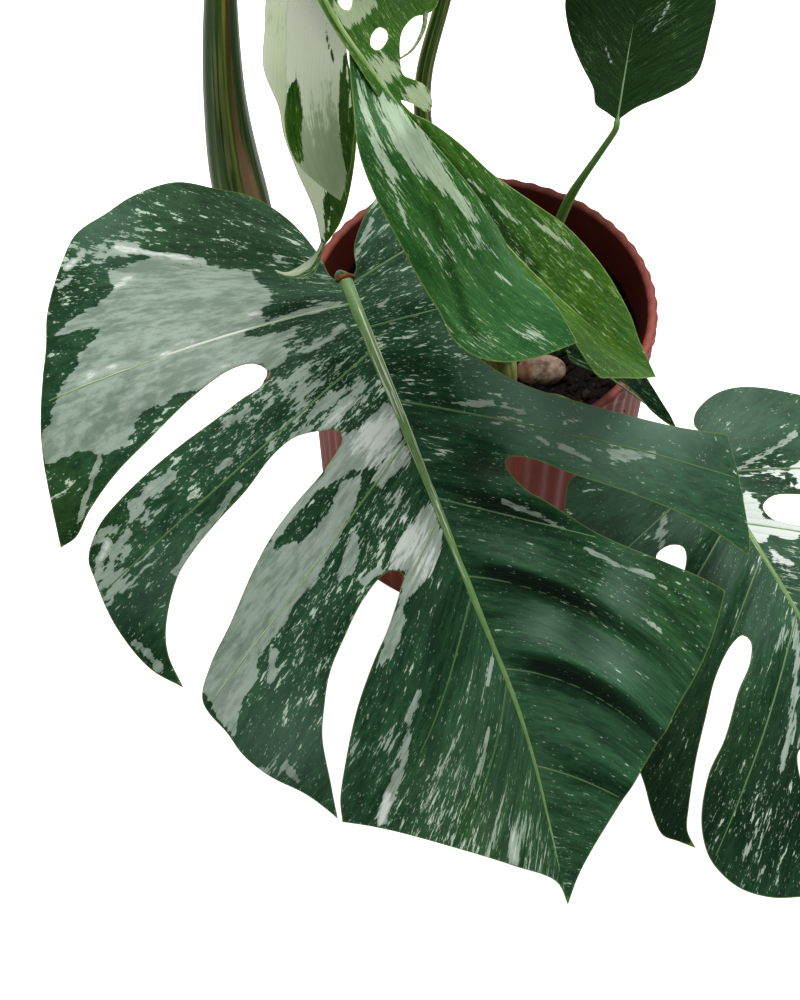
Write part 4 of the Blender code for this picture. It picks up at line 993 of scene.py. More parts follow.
tinyLeaf = {
    "midrib": [(49, -56, 215), (67, -77, 222), (93, -95, 214), (112, -104, 202)],
    "fold": [(0, 8), (1, 8)], "curl": [(0, 6), (1, 6)],
    "seed": 10, "squeeze": 1.5,
    "outline": [(0, 0, 1), (6, 11), (4, 25), (1, 34), (-2, 43), (-1, 57), (2, 68), (2, 80),
                (0, 86, 1), (-4, 79), (-8, 69), (-12, 60), (-18, 44), (-20, 23), (-16, 4),
                (-8, -3)],
    "speckle": 0.5, "warmth": 0.0, "creamness": 0.0,
}


# Tubes that follow a path: stalks, midribs and side veins

def meshTree(name, inputs):
    # geometry tree with one mesh in and out
    return newGroup(name, "GeometryNodeTree", [("Mesh", "Geometry", None), *inputs],
                    [("Mesh", "Geometry")])


def geo(tree, kind, inputs=None, **options):
    # first output of a geometry node, named by the end of its type
    return newNode(tree, "GeometryNode" + kind, inputs, **options).outputs[0]


def vectorMaths(tree, operation, inputs):
    return newNode(tree, "ShaderNodeVectorMath", inputs, operation=operation).outputs[0]


def stored(tree, geometry, name, value, **options):
    inputs = {0: geometry, "Name": name, "Value": value}
    return geo(tree, "StoreNamedAttribute", inputs, **options)


def named(tree, name, **options):
    return geo(tree, "InputNamedAttribute", {"Name": name}, **options)


def linked(name, data):
    # new object of the scene, at its origin
    thing = bpy.data.objects.new(name, data)
    bpy.context.scene.collection.objects.link(thing)
    return thing


def grownMesh(name, mesh, tree, values):
    # run a geometry tree on a mesh and keep the result as a plain object
    thing = linked(name, mesh)
    growing = thing.modifiers.new("nodes", "NODES")
    growing.node_group = tree
    sockets = {item.name: item.identifier for item in tree.interface.items_tree
               if item.in_out == "INPUT"}
    for title, value in values.items():
        growing[sockets[title]] = value
    bpy.context.view_layer.update()
    result = bpy.data.meshes.new_from_object(
        thing.evaluated_get(bpy.context.evaluated_depsgraph_get()))
    thing.modifiers.clear()
    thing.data = result
    result.name = name
    return thing


def ended(tree, geometry, material, out):
    # made real, smooth and given its material, into the tree's output
    real = geo(tree, "SetShadeSmooth", {0: geo(tree, "RealizeInstances", {0: geometry})})
    tree.links.new(geo(tree, "SetMaterial", {0: real, "Material": material}), out[0])


def buildTubeTree():
    # a grooved tube along each line of the mesh, as thick as the line's girth attribute
    tree, given, out = meshTree("tubeAlong", [
        ("Sides", "Int", 12), ("Grooves", "Float", 0.0), ("Groove Depth", "Float", 0.0),
        ("Material", "Material", None)])
    point = {"domain": "POINT"}
    vector = {"data_type": "FLOAT_VECTOR"}
    length = newNode(tree, "GeometryNodeSplineParameter").outputs["Length"]
    line = stored(tree, geo(tree, "MeshToCurve", {0: given["Mesh"]}), "reach", length, **point)
    ring = geo(tree, "CurvePrimitiveCircle", {"Resolution": given["Sides"], "Radius": 1.0})
    place = geo(tree, "InputPosition")
    x, y, _ = parted(tree, place)
    turn = maths(tree, "MULTIPLY", maths(tree, "ARCTAN2", y, x), given["Grooves"])
    size = maths(tree, "MULTIPLY_ADD", maths(tree, "COSINE", turn), given["Groove Depth"], 1.0)
    grooved = vectorMaths(tree, "SCALE", {0: place, "Scale": size})
    ring = geo(tree, "SetPosition", {0: ring, "Position": grooved})
    ring = stored(tree, ring, "around", place, **point, **vector)
    tube = geo(tree, "CurveToMesh", {"Curve": line, "Profile Curve": ring,
                                     "Scale": named(tree, "girth"), "Fill Caps": True})
    x, y, _ = parted(tree, named(tree, "around", **vector))
    flow = newNode(tree, "ShaderNodeCombineXYZ", {0: x, 1: y, 2: named(tree, "reach")})
    tube = stored(tree, tube, "flow", flow.outputs[0], **point, **vector)
    ended(tree, tube, given["Material"], out)
    return tree


tubeTree = buildTubeTree()


def pathMesh(name, paths):
    # lines; a path is rows of x, y, z and girth in mm, and lightness
    points, edges = [], []
    for path in paths:
        edges.extend((len(points) + i, len(points) + i + 1) for i in range(len(path) - 1))
        points.extend(path)
    points = np.array(points, float)
    mesh = bpy.data.meshes.new(name)
    mesh.from_pydata((points[:, :3] * mm).tolist(), edges, [])
    for title, column, scale in (("girth", 3, mm), ("lightness", 4, 1.0)):
        layer = mesh.attributes.new(title, "FLOAT", "POINT")
        layer.data.foreach_set("value", (points[:, column] * scale).astype(np.float32))
    return mesh


def tubes(name, paths, material, sides, grooves=0.0, depth=0.0):
    values = {"Sides": sides, "Grooves": float(grooves), "Groove Depth": depth, "Material": material}
    return grownMesh(name, pathMesh(name, paths), tubeTree, values)


veinShape = {
    "lowest": -12,  # side veins that start further back only steer the marbling
    "step": 2.5, "first": 0.6, "least": 8,  # a shorter vein, in steps, is left out
    "clear": 2.5,  # from the margin
    "foldedReach": 62, "thinning": 0.75, "tip": 0.12, "proud": 0.22,
    "light": -0.6, "foldedLight": -1.0,
    "whiteGirth": 1.5, "whiteReach": 118, "whiteFade": 20,
    "midribStep": 4.0, "midribSink": 0.52, "sides": 10,
}


def veinPaths(leaf, surface, sideGirth):
    # side veins in the valleys of the blade, from the midrib almost to the margin
    shape = veinShape
    loops = allLoops(leaf, 3.0)
    paths = []
    for sign, name in ((1, "veinsRight"), (-1, "veinsLeft")):
        for vein in leaf[name]:
            if vein[0] < shape["lowest"]:
                continue
            bent = len(vein) > 2
            white = (sign, vein[0]) == leaf.get("whiteVein")
            out = np.arange(shape["first"], shape["foldedReach"] if bent else leaf["reach"],
                            shape["step"])
            flat = np.stack([sign * out, veinRun(vein, out)], -1)
            inside = insideBlade(flat, loops) & (distanceTo(flat, loops[0]) > shape["clear"])
            inside[:3] = True
            stop = len(out) if inside.all() else np.argmin(inside)
            if stop < shape["least"]:
                continue
            out, flat = out[:stop], flat[:stop]
            places = surfaceAt(surface, flat[:, 0], flat[:, 1], np.full(stop, sign > 0))
            up = midribFrame(surface, flat[:, 1])[3]
            girth = sideGirth * (1 - shape["thinning"] * np.linspace(0, 1, stop)) + shape["tip"]
            light = sectorShare(flat, leaf["sectors"]) + shape["foldedLight" if bent else "light"]
            if white:
                girth = girth * shape["whiteGirth"]
                fade = np.clip((shape["whiteReach"] - out) / shape["whiteFade"], 0, 1)
                light = light + (light - shape["light"]) * fade
            lift = 0.5 * bladeShape["thickness"] + shape["proud"] - girth
            paths.append(np.column_stack([places + up * lift[:, None], girth, light]))
    return paths


def midribPath(leaf, surface, girths, start=0.0, spare=3.0):
    # half sunk in the blade, from start to a little before the tip
    tipAt = min(surface["length"], max(point[1] for point in leaf["outline"]))
    along = np.arange(start, tipAt - spare, veinShape["midribStep"])
    middle, _, _, up = midribFrame(surface, along)
    girth = np.interp(along / surface["length"], *np.array(girths).T)
    light = np.array(leaf.get("midribLight", [(0, 0), (1, 0)]))
    light = np.interp(along / surface["length"], *light.T)
    sink = (girth * veinShape["midribSink"])[:, None]
    return np.column_stack([middle - up * sink, girth, light])


def finished(thing, node, material=None):
    # a finished piece rides on the body and stands for its CAD node
    if material:
        thing.data.materials.clear()
        thing.data.materials.append(material)
    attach(thing, "root")
    if node:
        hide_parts(node)


def joinedMesh(name, meshes, angle):
    # one object of several meshes, smooth up to the angle, in degrees
    things = [linked(name, mesh) for mesh in meshes]
    if len(things) > 1:
        with bpy.context.temp_override(active_object=things[0], object=things[0],
                                       selected_objects=things, selected_editable_objects=things):
            bpy.ops.object.join()
    thing = things[0]
    thing.name = name
    thing.data.shade_smooth()
    thing.data.set_sharp_from_angle(angle=math.radians(angle))
    return thing


leafPieces = {
    "frontLeaf": {"leaf": frontLeaf, "node": "blade_a", "spacing": 2.0, "sideGirth": 1.2,
                  "girths": [(0, 6.0), (0.25, 4.7), (0.6, 2.8), (1, 0.8)],
                  "blade": grownLeaf, "veins": grownVein},
    "rightLeaf": {"leaf": rightLeaf, "node": "blade_b", "spacing": 2.4, "sideGirth": 1.15,
                  "girths": [(0, 3.4), (0.5, 2.2), (1, 0.7)],
                  "blade": grownLeaf, "veins": grownVein},
    "backLeaf": {"leaf": backLeaf, "node": "blade_h", "spacing": 3.6, "sideGirth": 1.0,
                 "girths": [(0, 3.0), (0.5, 2.0), (1, 0.7)],
                 "blade": grownLeaf, "veins": grownVein},
    "smallLeaf": {"leaf": smallLeaf, "node": "blade_e", "spacing": 2.2,
                  "girths": [(0, 1.5), (1, 0.5)], "blade": darkLeaf, "veins": darkVein},
    "tinyLeaf": {"leaf": tinyLeaf, "node": "blade_g", "spacing": 1.5,
                 "girths": [(0, 1.0), (1, 0.3)], "blade": darkLeaf, "veins": darkVein},
}
archingPiece = {"spacing": 2.2, "lobeSpacing": 1.6, "tornSpacing": 1.0, "start": 6.0, "spare": 20,
                "girths": [(0, 2.4), (0.3, 2.0), (1, 0.8)]}


def makeLeaf(name, piece):
    leaf = piece["leaf"]
    mesh, surface = bladeMesh(name, leaf, piece["spacing"])
    finished(joinedMesh(name, [mesh], bladeShape["smoothTo"]), piece["node"], piece["blade"])
    paths = [midribPath(leaf, surface, piece["girths"])]
    if "sideGirth" in piece:
        paths += veinPaths(leaf, surface, piece["sideGirth"])
    finished(tubes(name + "Veins", paths, piece["veins"], veinShape["sides"]), None)


def makeArchingLeaf(piece):
    mesh, surface = bladeMesh("archingLeaf", archingLeaf, piece["spacing"])
    meshes = [mesh]
    for lobe in archingLobes:
        hangs = "root" in lobe
        spacing = piece["lobeSpacing" if hangs else "tornSpacing"]
        meshes.append(bladeMesh("archingLobe", lobe, spacing, surface if hangs else None)[0])
    arching = joinedMesh("archingLeaf", meshes, bladeShape["smoothTo"])
    finished(arching, "blade_c", youngLeaf)
    midrib = midribPath(archingLeaf, surface, piece["girths"], piece["start"], piece["spare"])
    veins = tubes("archingLeafVeins", [midrib], youngVein, veinShape["sides"])
    finished(veins, None)


for name in ("frontLeaf", "rightLeaf", "backLeaf"):
    makeLeaf(name, leafPieces[name])
print("split leaves made")
makeArchingLeaf(archingPiece)
for name in ("smallLeaf", "tinyLeaf"):
    makeLeaf(name, leafPieces[name])
print("young and small leaves made")


# Stalks: striped, faintly grooved, upright where they stand in the soil

def stalkMaterial(name, look):
    made, tree, shader = newMaterial(name, Roughness=look["roughness"], Specular_IOR_Level=0.12)
    flow = attribute(tree, "flow", "Vector")
    place = objectPlace(tree)
    stripes = stretched(tree, flow, look["stripes"], look["stripes"], 3.0, look["shift"])
    broad = noise(tree, stripes, 1, 2, 0.5)
    fine = noise(tree, stretched(tree, flow, 5.0, 5.0, 9.0, look["shift"]), 1, 3, 0.6)
    mottle = mottled(tree, place, 14.0, 0.9, 1.0)
    base = mixed(tree, ramp(tree, broad, 0.40, 0.60), look["dark"], look["green"])
    base = mixed(tree, ramp(tree, broad, 0.53, 0.62), base, look["olive"])
    base = tinted(tree, base, ramp(tree, broad, 0.30, 0.37, 1.0, 0.0), look["brownShare"],
                  look["brown"])
    base = tinted(tree, base, ramp(tree, fine, 0.54, 0.62), look["fineShare"], look["light"])
    if "bands" in look:
        # the big stalk: green and olive, then a brown seam that is wider and tan below, dark green
        bands = look["bands"]
        normal = newNode(tree, "ShaderNodeNewGeometry").outputs["Normal"]
        across = maths(tree, "MULTIPLY_ADD", broad, bands["wander"],
                       maths(tree, "SUBTRACT", parted(tree, normal)[0], bands["shift"]))
        low = ramp(tree, parted(tree, place)[2], *bands["low"])
        past = maths(tree, "MULTIPLY_ADD", low, bands["widening"], across)
        base = mixed(tree, ramp(tree, across, *bands["green"]), base, look["green"])
        base = mixed(tree, ramp(tree, past, *bands["dark"]), base, look["dark"])
        base = tinted(tree, base, ramp(tree, across, *bands["seam"]),
                      ramp(tree, past, *bands["seamEnd"]),
                      mixed(tree, low, look["brown"], look["tan"]))
    coloured(tree, shader, tinted(tree, base, mottle["Tone"], 0.22, look["dark"]),
             maths(tree, "MULTIPLY_ADD", mottle["Fine"], 0.2, look["roughness"] - 0.08))
    bumped(tree, shader, maths(tree, "MULTIPLY_ADD", mottle["Fine"], 0.2, fine), 0.4 * mm, 0.7)
    return made


stalkLook = {
    "dark": colour(28, 54, 14), "green": colour(58, 90, 32), "olive": colour(132, 138, 66),
    "brown": colour(104, 66, 36), "brownShare": 0.8, "light": colour(150, 156, 92),
    "fineShare": 0.45, "roughness": 0.42, "stripes": 1.5, "shift": 3.0,
}
bandedLook = {
    **stalkLook, "green": colour(66, 96, 30), "olive": colour(140, 144, 62),
    "brown": colour(100, 60, 36), "brownShare": 0.2, "tan": colour(164, 128, 100),
    # ramps across the stalk, by its normal's X, and low by height in m
    "bands": {"wander": 0.5, "shift": 0.25, "widening": -0.24, "low": (0.29, 0.40, 1.0, 0.0),
              "green": (-0.75, -0.5, 0.55, 0.0), "dark": (0.5, 0.62, 0.0, 0.6),
              "seam": (0.26, 0.36), "seamEnd": (0.48, 0.58, 0.85, 0.0)},
}
freshLook = {**stalkLook, "dark": colour(72, 112, 44), "green": colour(96, 138, 62),
             "olive": colour(122, 156, 80), "brownShare": 0.1, "light": colour(140, 168, 100),
             "shift": 5.0}
darkStalkLook = {**stalkLook, "dark": colour(40, 72, 22), "olive": colour(88, 116, 50),
                 "brownShare": 0.35, "light": colour(116, 142, 84), "fineShare": 0.3,
                 "shift": 8.0}
# painted shade: a darker copy of the green stalk, for the tiny stalk down in the shadow over the soil
paintedShadeStalkLook = {**darkStalkLook, "dark": colour(12, 28, 12), "green": colour(22, 44, 20),
                "olive": colour(34, 54, 24), "light": colour(46, 68, 36)}
# a pale yellow-green stem, painted much paler still: painted light that lifts it out of the leaves'
# shadow
stemLook = {
    "dark": colour(184, 200, 112), "green": colour(212, 222, 140), "olive": colour(232, 236, 172),
    "brown": colour(120, 84, 50), "brownShare": 0.6, "light": colour(222, 220, 168),
    "fineShare": 0.6, "roughness": 0.5, "stripes": 2.4, "shift": 5.0,
}
stripedStalk = stalkMaterial("stripedStalk", stalkLook)
greenStalk = stalkMaterial("greenStalk", darkStalkLook)
paintedShadeStalk = stalkMaterial("paintedShadeStalk", paintedShadeStalkLook)
bandedStalk = stalkMaterial("bandedStalk", bandedLook)
freshStalk = stalkMaterial("freshStalk", freshLook)
paleStemPaintedLight = stalkMaterial("paleStemPaintedLight", stemLook)

# a stalk's path is (place, radius); side says whether it meets its leaf from below (-1) or above
stalks = {
    "frontStalk": {
        "node": "petiole_a", "leaf": frontLeaf, "side": -1, "tip": 3.4, "material": greenStalk,
        "path": [((-16, -30, 142), 6.5), ((-16, -30, 170), 6.5), ((-30, -34, 205), 5.2),
                 ((-58, -44, 242), 4.2), ((-76, -58, 276), 3.8)]},
    "rightStalk": {
        "node": "petiole_b", "leaf": rightLeaf, "side": 1, "tip": 3.0, "material": stripedStalk,
        "path": [((30, -64, 142), 6.0), ((30, -64, 170), 6.0), ((42, -80, 196), 4.8),
                 ((60, -100, 208), 3.9), ((84, -109, 205), 3.5), ((106, -103, 192), 3.3),
                 ((122, -93, 176), 3.2)]},
    "archingStalk": {
        "node": "petiole_c", "leaf": archingLeaf, "side": -1, "tip": 3.6, "material": bandedStalk,
        "path": [((-28, -8, 142), 11), ((-28, -8, 172), 11), ((-48, -14, 198), 11),
                 ((-82, -20, 214), 11.5), ((-112, -18, 229), 13), ((-136, -8, 257), 15),
                 ((-144, 0, 292), 15.5), ((-148, 2, 360), 11.8), ((-145, 0, 434), 8.6),
                 ((-141, -6, 470), 6.4), ((-130, -16, 488), 4.8)]},
    "smallStalk": {
        "node": "petiole_e", "leaf": smallLeaf, "side": -1, "tip": 1.9, "tipRun": 3,
        "material": freshStalk,
        "path": [((28, 38, 142), 5.2), ((28, 38, 170), 5.2), ((46, 38, 220), 3.6),
                 ((54, 38, 250), 3.0), ((60, 37, 267), 2.4), ((70, 35, 293), 2.0)]},
    "tinyStalk": {
        "node": "petiole_g", "leaf": tinyLeaf, "side": -1, "tip": 1.7, "material": paintedShadeStalk,
        "path": [((24, 14, 142), 3.2), ((24, 14, 170), 3.0), ((33, -18, 200), 2.2),
                 ((41, -42, 206), 1.8)]},
    "backStalk": {
        "node": "petiole_h", "leaf": backLeaf, "side": -1, "tip": 3.4, "material": stripedStalk,
        "path": [((-5, 16, 142), 7.5), ((-5, 16, 170), 7.5), ((-22, 26, 230), 6.2),
                 ((-36, 38, 300), 5.2), ((-37, 47, 337), 4.8), ((-26, 66, 379), 4.4),
                 ((-8, 98, 440), 4.0), ((-1, 118, 470), 3.8)]},
}
stalkShape = {"step": 5.0, "clear": 172.0, "overlap": 0.8, "tipRun": 9, "sides": 28,
              "grooves": 9, "depth": 0.035, "wayIn": 4, "sink": 1.4, "end": 0.6}


def stalkPath(path, step):
    # smooth through the places, upright until it is clear of the soil
    smooth = curveThrough([(*place, radius) for place, radius in path], step)
    buried = np.argmax(smooth[:, 2] >= stalkShape["clear"])
    smooth[:buried, :2] = path[0][0][:2]
    return np.column_stack([smooth, np.zeros(len(smooth))])


def stalkTip(stalk, shape):
    # where the stalk meets its leaf; from below it runs on a little under the midrib
    surface = makeSurface(stalk["leaf"])
    middle, forward, _, up = (row[0] for row in midribFrame(surface, np.array([0.0])))
    lean = stalk["side"] * up - forward
    end = middle + shape["overlap"] * lean
    run = stalk.get("tipRun", shape["tipRun"]) / np.linalg.norm(lean)
    tip = [(tuple(end + run * lean), stalk["tip"]), (tuple(end), stalk["tip"])]
    if stalk["side"] < 0:
        tip.append((tuple(middle + shape["wayIn"] * forward - shape["sink"] * up),
                    shape["end"] * stalk["tip"]))
    return tip


for name, stalk in stalks.items():
    path = stalkPath(stalk["path"] + stalkTip(stalk, stalkShape), stalkShape["step"])
    tube = tubes(name, [path], stalk["material"], stalkShape["sides"], stalkShape["grooves"],
                 stalkShape["depth"])
    finished(tube, stalk["node"])

stemShape = {
    "path": [((12, -38, 142), 10.0), ((12, -38, 170), 10.0), ((10, -39, 190), 9.4),
             ((8, -42, 206), 10.4), ((5, -42, 222), 8.6), ((3, -41, 236), 5.0)],
    "step": 2.5, "ringPitch": 3.1, "ringRise": 0.25, "sides": 36, "grooves": 11, "depth": 0.045,
    "bulge": 1.6, "bulgeHeight": 208, "bulgeReach": 7,
}


def stemPath(shape):
    # ringed, with a bulge to one side
    path = stalkPath(shape["path"], shape["step"])
    path[:, 3] += np.sin(path[:, 2] / shape["ringPitch"]) * shape["ringRise"]
    past = (path[:, 2] - shape["bulgeHeight"]) / shape["bulgeReach"]
    path[:, 0] -= shape["bulge"] * np.exp(-past ** 2)
    return path


stem = tubes("stemBase", [stemPath(stemShape)], paleStemPaintedLight, stemShape["sides"],
             stemShape["grooves"], stemShape["depth"])
finished(stem, "stem")
print("stalks made")


# Small dried bits: the leaf's notch, its slit's end, a curled thread and a torn sliver

def driedMaterial(name, dark, light):
    made, tree, shader = newMaterial(name, Roughness=0.75, Specular_IOR_Level=0.2)
    mottle = mottled(tree, objectPlace(tree), 2.4, 0.5, 1.6)
    coloured(tree, shader, mixed(tree, mottle["Tone"], dark, light))
    bumped(tree, shader, mottle["Height"], 0.3 * mm, 0.7)
    return made


# flat places lie on the leaf and are lifted off it; the others are places in space
driedBits = {
    "notchBit": {"leaf": frontLeaf, "flat": [(5.5, -0.4), (2, -1.4), (-2.5, -1.2), (-5.5, 0.2)],
                 "lift": 1.0, "girths": (0.7, 1.7, 1.5, 0.5),
                 "colours": (colour(88, 40, 22), colour(138, 76, 46))},
    "slitCallus": {"leaf": frontLeaf, "flat": [(66, 42.6), (63.4, 41.8), (61.4, 40.4), (60.4, 38.4)],
                   "lift": 0.2, "girths": (0.3, 0.8, 0.8, 0.3),
                   "colours": (colour(92, 66, 44), colour(140, 116, 88))},
    "curledThread": {"places": [(86, -71, 214), (89, -78, 213), (85.5, -82.5, 211),
                                (80, -79.5, 211)],
                     "girths": (0.5, 0.45, 0.4, 0.3),
                     "colours": (colour(120, 84, 56), colour(168, 134, 96))},
    "tornSliver": {"leaf": archingLeaf,
                   "flat": [(-53, 84), (-47, 88), (-38, 90.5), (-29, 91), (-20, 89)],
                   "lift": -0.6, "girths": (1.4, 1.2, 0.9, 0.7, 0.5),
                   "colours": (colour(78, 100, 58), colour(140, 154, 110))},
}
driedShape = {"step": 0.8, "sides": 10, "grooves": 5, "depth": 0.12}
for name, bit in driedBits.items():
    places = bit.get("places")
    if "leaf" in bit:
        u, s = np.array(bit["flat"], float).T
        places = surfaceAt(makeSurface(bit["leaf"]), u, s) + [0, 0, bit["lift"]]
    path = curveThrough(np.column_stack([places, bit["girths"]]), driedShape["step"])
    path = np.column_stack([path, np.zeros(len(path))])
    tube = tubes(name, [path], driedMaterial(name, *bit["colours"]), driedShape["sides"],
                 driedShape["grooves"], driedShape["depth"])
    finished(tube, None)
print("dried bits made")


# Pot: turned wall with flutes outside and a rounded, gently waved rim

potSize = {
    "height": 197, "topRadius": 108.6, "baseRadius": 102, "wall": 3.2, "rimWall": 5.2,
    "floor": 4, "flutes": 56, "fluteDepth": 1.0, "rise": 12, "band": 13, "lip": 1.0,
    "wave": 0.35, "stepsPerFlute": 8, "footRound": 2, "footFlat": 4, "rimRound": 2.4,
    "bandStep": 2, "rimFluting": 0.45,
    "rows": {"foot": 5, "wall": 22, "step": 6, "band": 4, "rim": 13, "inside": 14},
}


def potProfile(size):
    # rows of radius, height, share of fluting, share of the rim's wave, inside
    def outer(z):
        return size["baseRadius"] + (size["topRadius"] - size["baseRadius"]) / size["height"] * z

    foot, lip, rim = size["footRound"], size["lip"], size["height"] - size["rimRound"]
    band, step, count = size["height"] - size["band"], size["bandStep"], size["rows"]
    rows = [(0, 0, 0, 0, 0), (outer(0) * 0.5, 0, 0, 0, 0),
            (outer(0) - size["footFlat"], 0, 0, 0, 0)]
    for spin in np.radians(np.linspace(0, 90, count["foot"])):
        rows.append((outer(0) - foot + foot * math.sin(spin), foot - foot * math.cos(spin), 0, 0, 0))
    for z in np.linspace(5, band - 3, count["wall"]):
        rows.append((outer(z), z, min(1, z / size["rise"]), 0, 0))
    for share in np.linspace(0, 1, count["step"]):
        z = band - step + 2 * step * share
        rows.append((outer(z) + lip * share * share * (3 - 2 * share), z, 1, 0, 0))
    for z in np.linspace(band + 4, rim - 1, count["band"]):
        fluting = 1 - (1 - size["rimFluting"]) * (z - band) / size["band"]
        rows.append((outer(z) + lip, z, fluting, 0, 0))
    inner = outer(size["height"]) - size["rimWall"]
    half = (outer(size["height"]) + lip - inner) / 2
    for turn in np.linspace(0, 1, count["rim"]):
        spin = math.pi * turn
        rows.append((inner + half + half * math.cos(spin), rim + size["rimRound"] * math.sin(spin),
                     size["rimFluting"] * (1 - turn), math.sin(spin),
                     0.5 - 0.5 * math.cos(spin)))
    bottom = outer(size["floor"]) - size["wall"]
    for share in np.linspace(0.02, 1, count["inside"]):
        inward = 4 * share if share < 0.1 else 0.4 + 0.6 * share
        rows.append((inner + (bottom - inner) * min(1, inward), rim + (size["floor"] - rim) * share,
                     0, 0, 1))
    return rows + [(bottom * 0.5, size["floor"], 0, 0, 1), (0, size["floor"], 0, 0, 1)]


def meshOf(name, work):
    mesh = bpy.data.meshes.new(name)
    work.to_mesh(mesh)
    work.free()
    return mesh


def turnedMesh(name, rows, count):
    # rows turned round Z; the first and last meet the axis
    work = bmesh.new()
    layers = [work.verts.layers.float.new(title) for title in ("fluted", "waved", "inside")]
    rings = []
    for radius, z, *shares in rows:
        angles = [0.0] if radius == 0 else [2 * math.pi * k / count for k in range(count)]
        ring = [work.verts.new((radius * mm * math.cos(a), radius * mm * math.sin(a), z * mm))
                for a in angles]
        for spot in ring:
            for layer, share in zip(layers, shares):
                spot[layer] = share
        rings.append(ring)
    for low, high in zip(rings, rings[1:]):
        for i in range(count):
            j = (i + 1) % count
            corners = [low[i % len(low)], low[j % len(low)], high[j % len(high)],
                       high[i % len(high)]]
            work.faces.new(list(dict.fromkeys(corners)))
    bmesh.ops.recalc_face_normals(work, faces=work.faces)
    return meshOf(name, work)


def buildFluteTree():
    # pushes the wall out and in round the pot, and lowers the rim between the flutes
    tree, given, out = meshTree("flutedWall", [
        ("Flutes", "Int", 56), ("Flute Depth", "Float", 0.001), ("Rim Wave", "Float", 0.0004),
        ("Material", "Material", None)])
    x, y, _ = parted(tree, geo(tree, "InputPosition"))
    turn = maths(tree, "MULTIPLY", maths(tree, "ARCTAN2", y, x), given["Flutes"])
    wave = maths(tree, "COSINE", turn)
    flat = newNode(tree, "ShaderNodeCombineXYZ", {0: x, 1: y, 2: 0.0}).outputs[0]
    outward = vectorMaths(tree, "NORMALIZE", {0: flat})
    push = maths(tree, "MULTIPLY", wave, named(tree, "fluted"))
    push = maths(tree, "MULTIPLY", push, given["Flute Depth"])
    drop = maths(tree, "MULTIPLY", maths(tree, "SUBTRACT", wave, 1.0), named(tree, "waved"))
    drop = maths(tree, "MULTIPLY", drop, given["Rim Wave"])
    lift = newNode(tree, "ShaderNodeCombineXYZ", {0: 0.0, 1: 0.0, 2: drop}).outputs[0]
    pushed = vectorMaths(tree, "SCALE", {0: outward, "Scale": push})
    offset = vectorMaths(tree, "ADD", {0: pushed, 1: lift})
    moved = geo(tree, "SetPosition", {0: given["Mesh"], "Offset": offset})
    ended(tree, moved, given["Material"], out)
    return tree


def potMaterial():
    # dusty brick red, paler along the rim, and darker inside as painted shade
    made, tree, shader = newMaterial("brickPlastic", Roughness=0.52, Specular_IOR_Level=0.3)
    place = objectPlace(tree)
    mottle = mottled(tree, place, 34.0, 0.7, 0.9)
    dust = noise(tree, stretched(tree, place, 130, 130, 26), 1, 4, 0.7)
    base = mixed(tree, mottle["Tone"], colour(122, 46, 36), colour(140, 58, 46))
    base = mixed(tree, ramp(tree, dust, 0.55, 0.75, 0.0, 0.35), base, colour(172, 100, 86))
    base = mixed(tree, ramp(tree, mottle["Fine"], 0.60, 0.72, 0.0, 0.25), base,
                 colour(104, 48, 40))
    # painted shade: the inner wall is darker, where the pot's depth and the leaves shade it
    base = tinted(tree, base, attribute(tree, "inside"), 0.75, colour(92, 34, 26))
    base = tinted(tree, base, attribute(tree, "waved"), 0.3, colour(178, 96, 84))
    coloured(tree, shader, base, maths(tree, "MULTIPLY_ADD", mottle["Fine"], 0.16, 0.44))
    bumped(tree, shader, mottle["Fine"], 0.15 * mm, 0.5)
    return made


potWall = turnedMesh("potBody", potProfile(potSize), potSize["flutes"] * potSize["stepsPerFlute"])
pot = grownMesh("potBody", potWall, buildFluteTree(), {
    "Flutes": potSize["flutes"], "Flute Depth": potSize["fluteDepth"] * mm,
    "Rim Wave": potSize["wave"] * mm, "Material": potMaterial()})
finished(pot, "pot")
print("pot made")


# Soil: bumpy top with crumbs and bark chips, and a pebble half sunk in it

soilSize = {"level": 165, "radius": 104.0, "depth": 8, "spacing": 2.4, "seed": 4,
            "bump": 1.4, "dome": 0.00016, "rough": 0.45, "smoothTo": 70}


def soilTop(x, y):
    # height in mm of the mix, a little higher at the middle
    bumps = np.sin(x * 0.21 + 1.3) * np.cos(y * 0.17 - 0.4) + 0.6 * np.sin(x * 0.095 - y * 0.14)
    return soilSize["level"] + soilSize["bump"] * bumps - soilSize["dome"] * (x * x + y * y)


def soilMesh(name):
    # rings of six more points each, then a skirt and a flat underside
    rings = int(soilSize["radius"] / soilSize["spacing"])
    work = bmesh.new()
    previous = [work.verts.new((0, 0, soilTop(0.0, 0.0) * mm))]
    rng = np.random.default_rng(soilSize["seed"])
    for ring in range(1, rings + 1):
        radius = soilSize["radius"] * ring / rings
        count = 6 * ring
        current = []
        for k in range(count):
            spin = 2 * math.pi * k / count
            x, y = radius * math.cos(spin), radius * math.sin(spin)
            rough = rng.normal(0, soilSize["rough"]) if ring < rings else 0.0
            current.append(work.verts.new((x * mm, y * mm, (soilTop(x, y) + rough) * mm)))
        for k in range(count):
            a = previous[int(k * len(previous) / count)]
            b, c = current[k], current[(k + 1) % count]
            d = previous[int((k + 1) * len(previous) / count) % len(previous)]
            work.faces.new((a, b, c))
            if d is not a:
                work.faces.new((a, c, d))
        previous = current
    low = [work.verts.new((v.co.x, v.co.y, v.co.z - soilSize["depth"] * mm)) for v in previous]
    for k in range(count):
        after = (k + 1) % count
        work.faces.new((previous[k], low[k], low[after], previous[after]))
    work.faces.new(list(reversed(low)))
    bmesh.ops.recalc_face_normals(work, faces=work.faces)
    return meshOf(name, work)


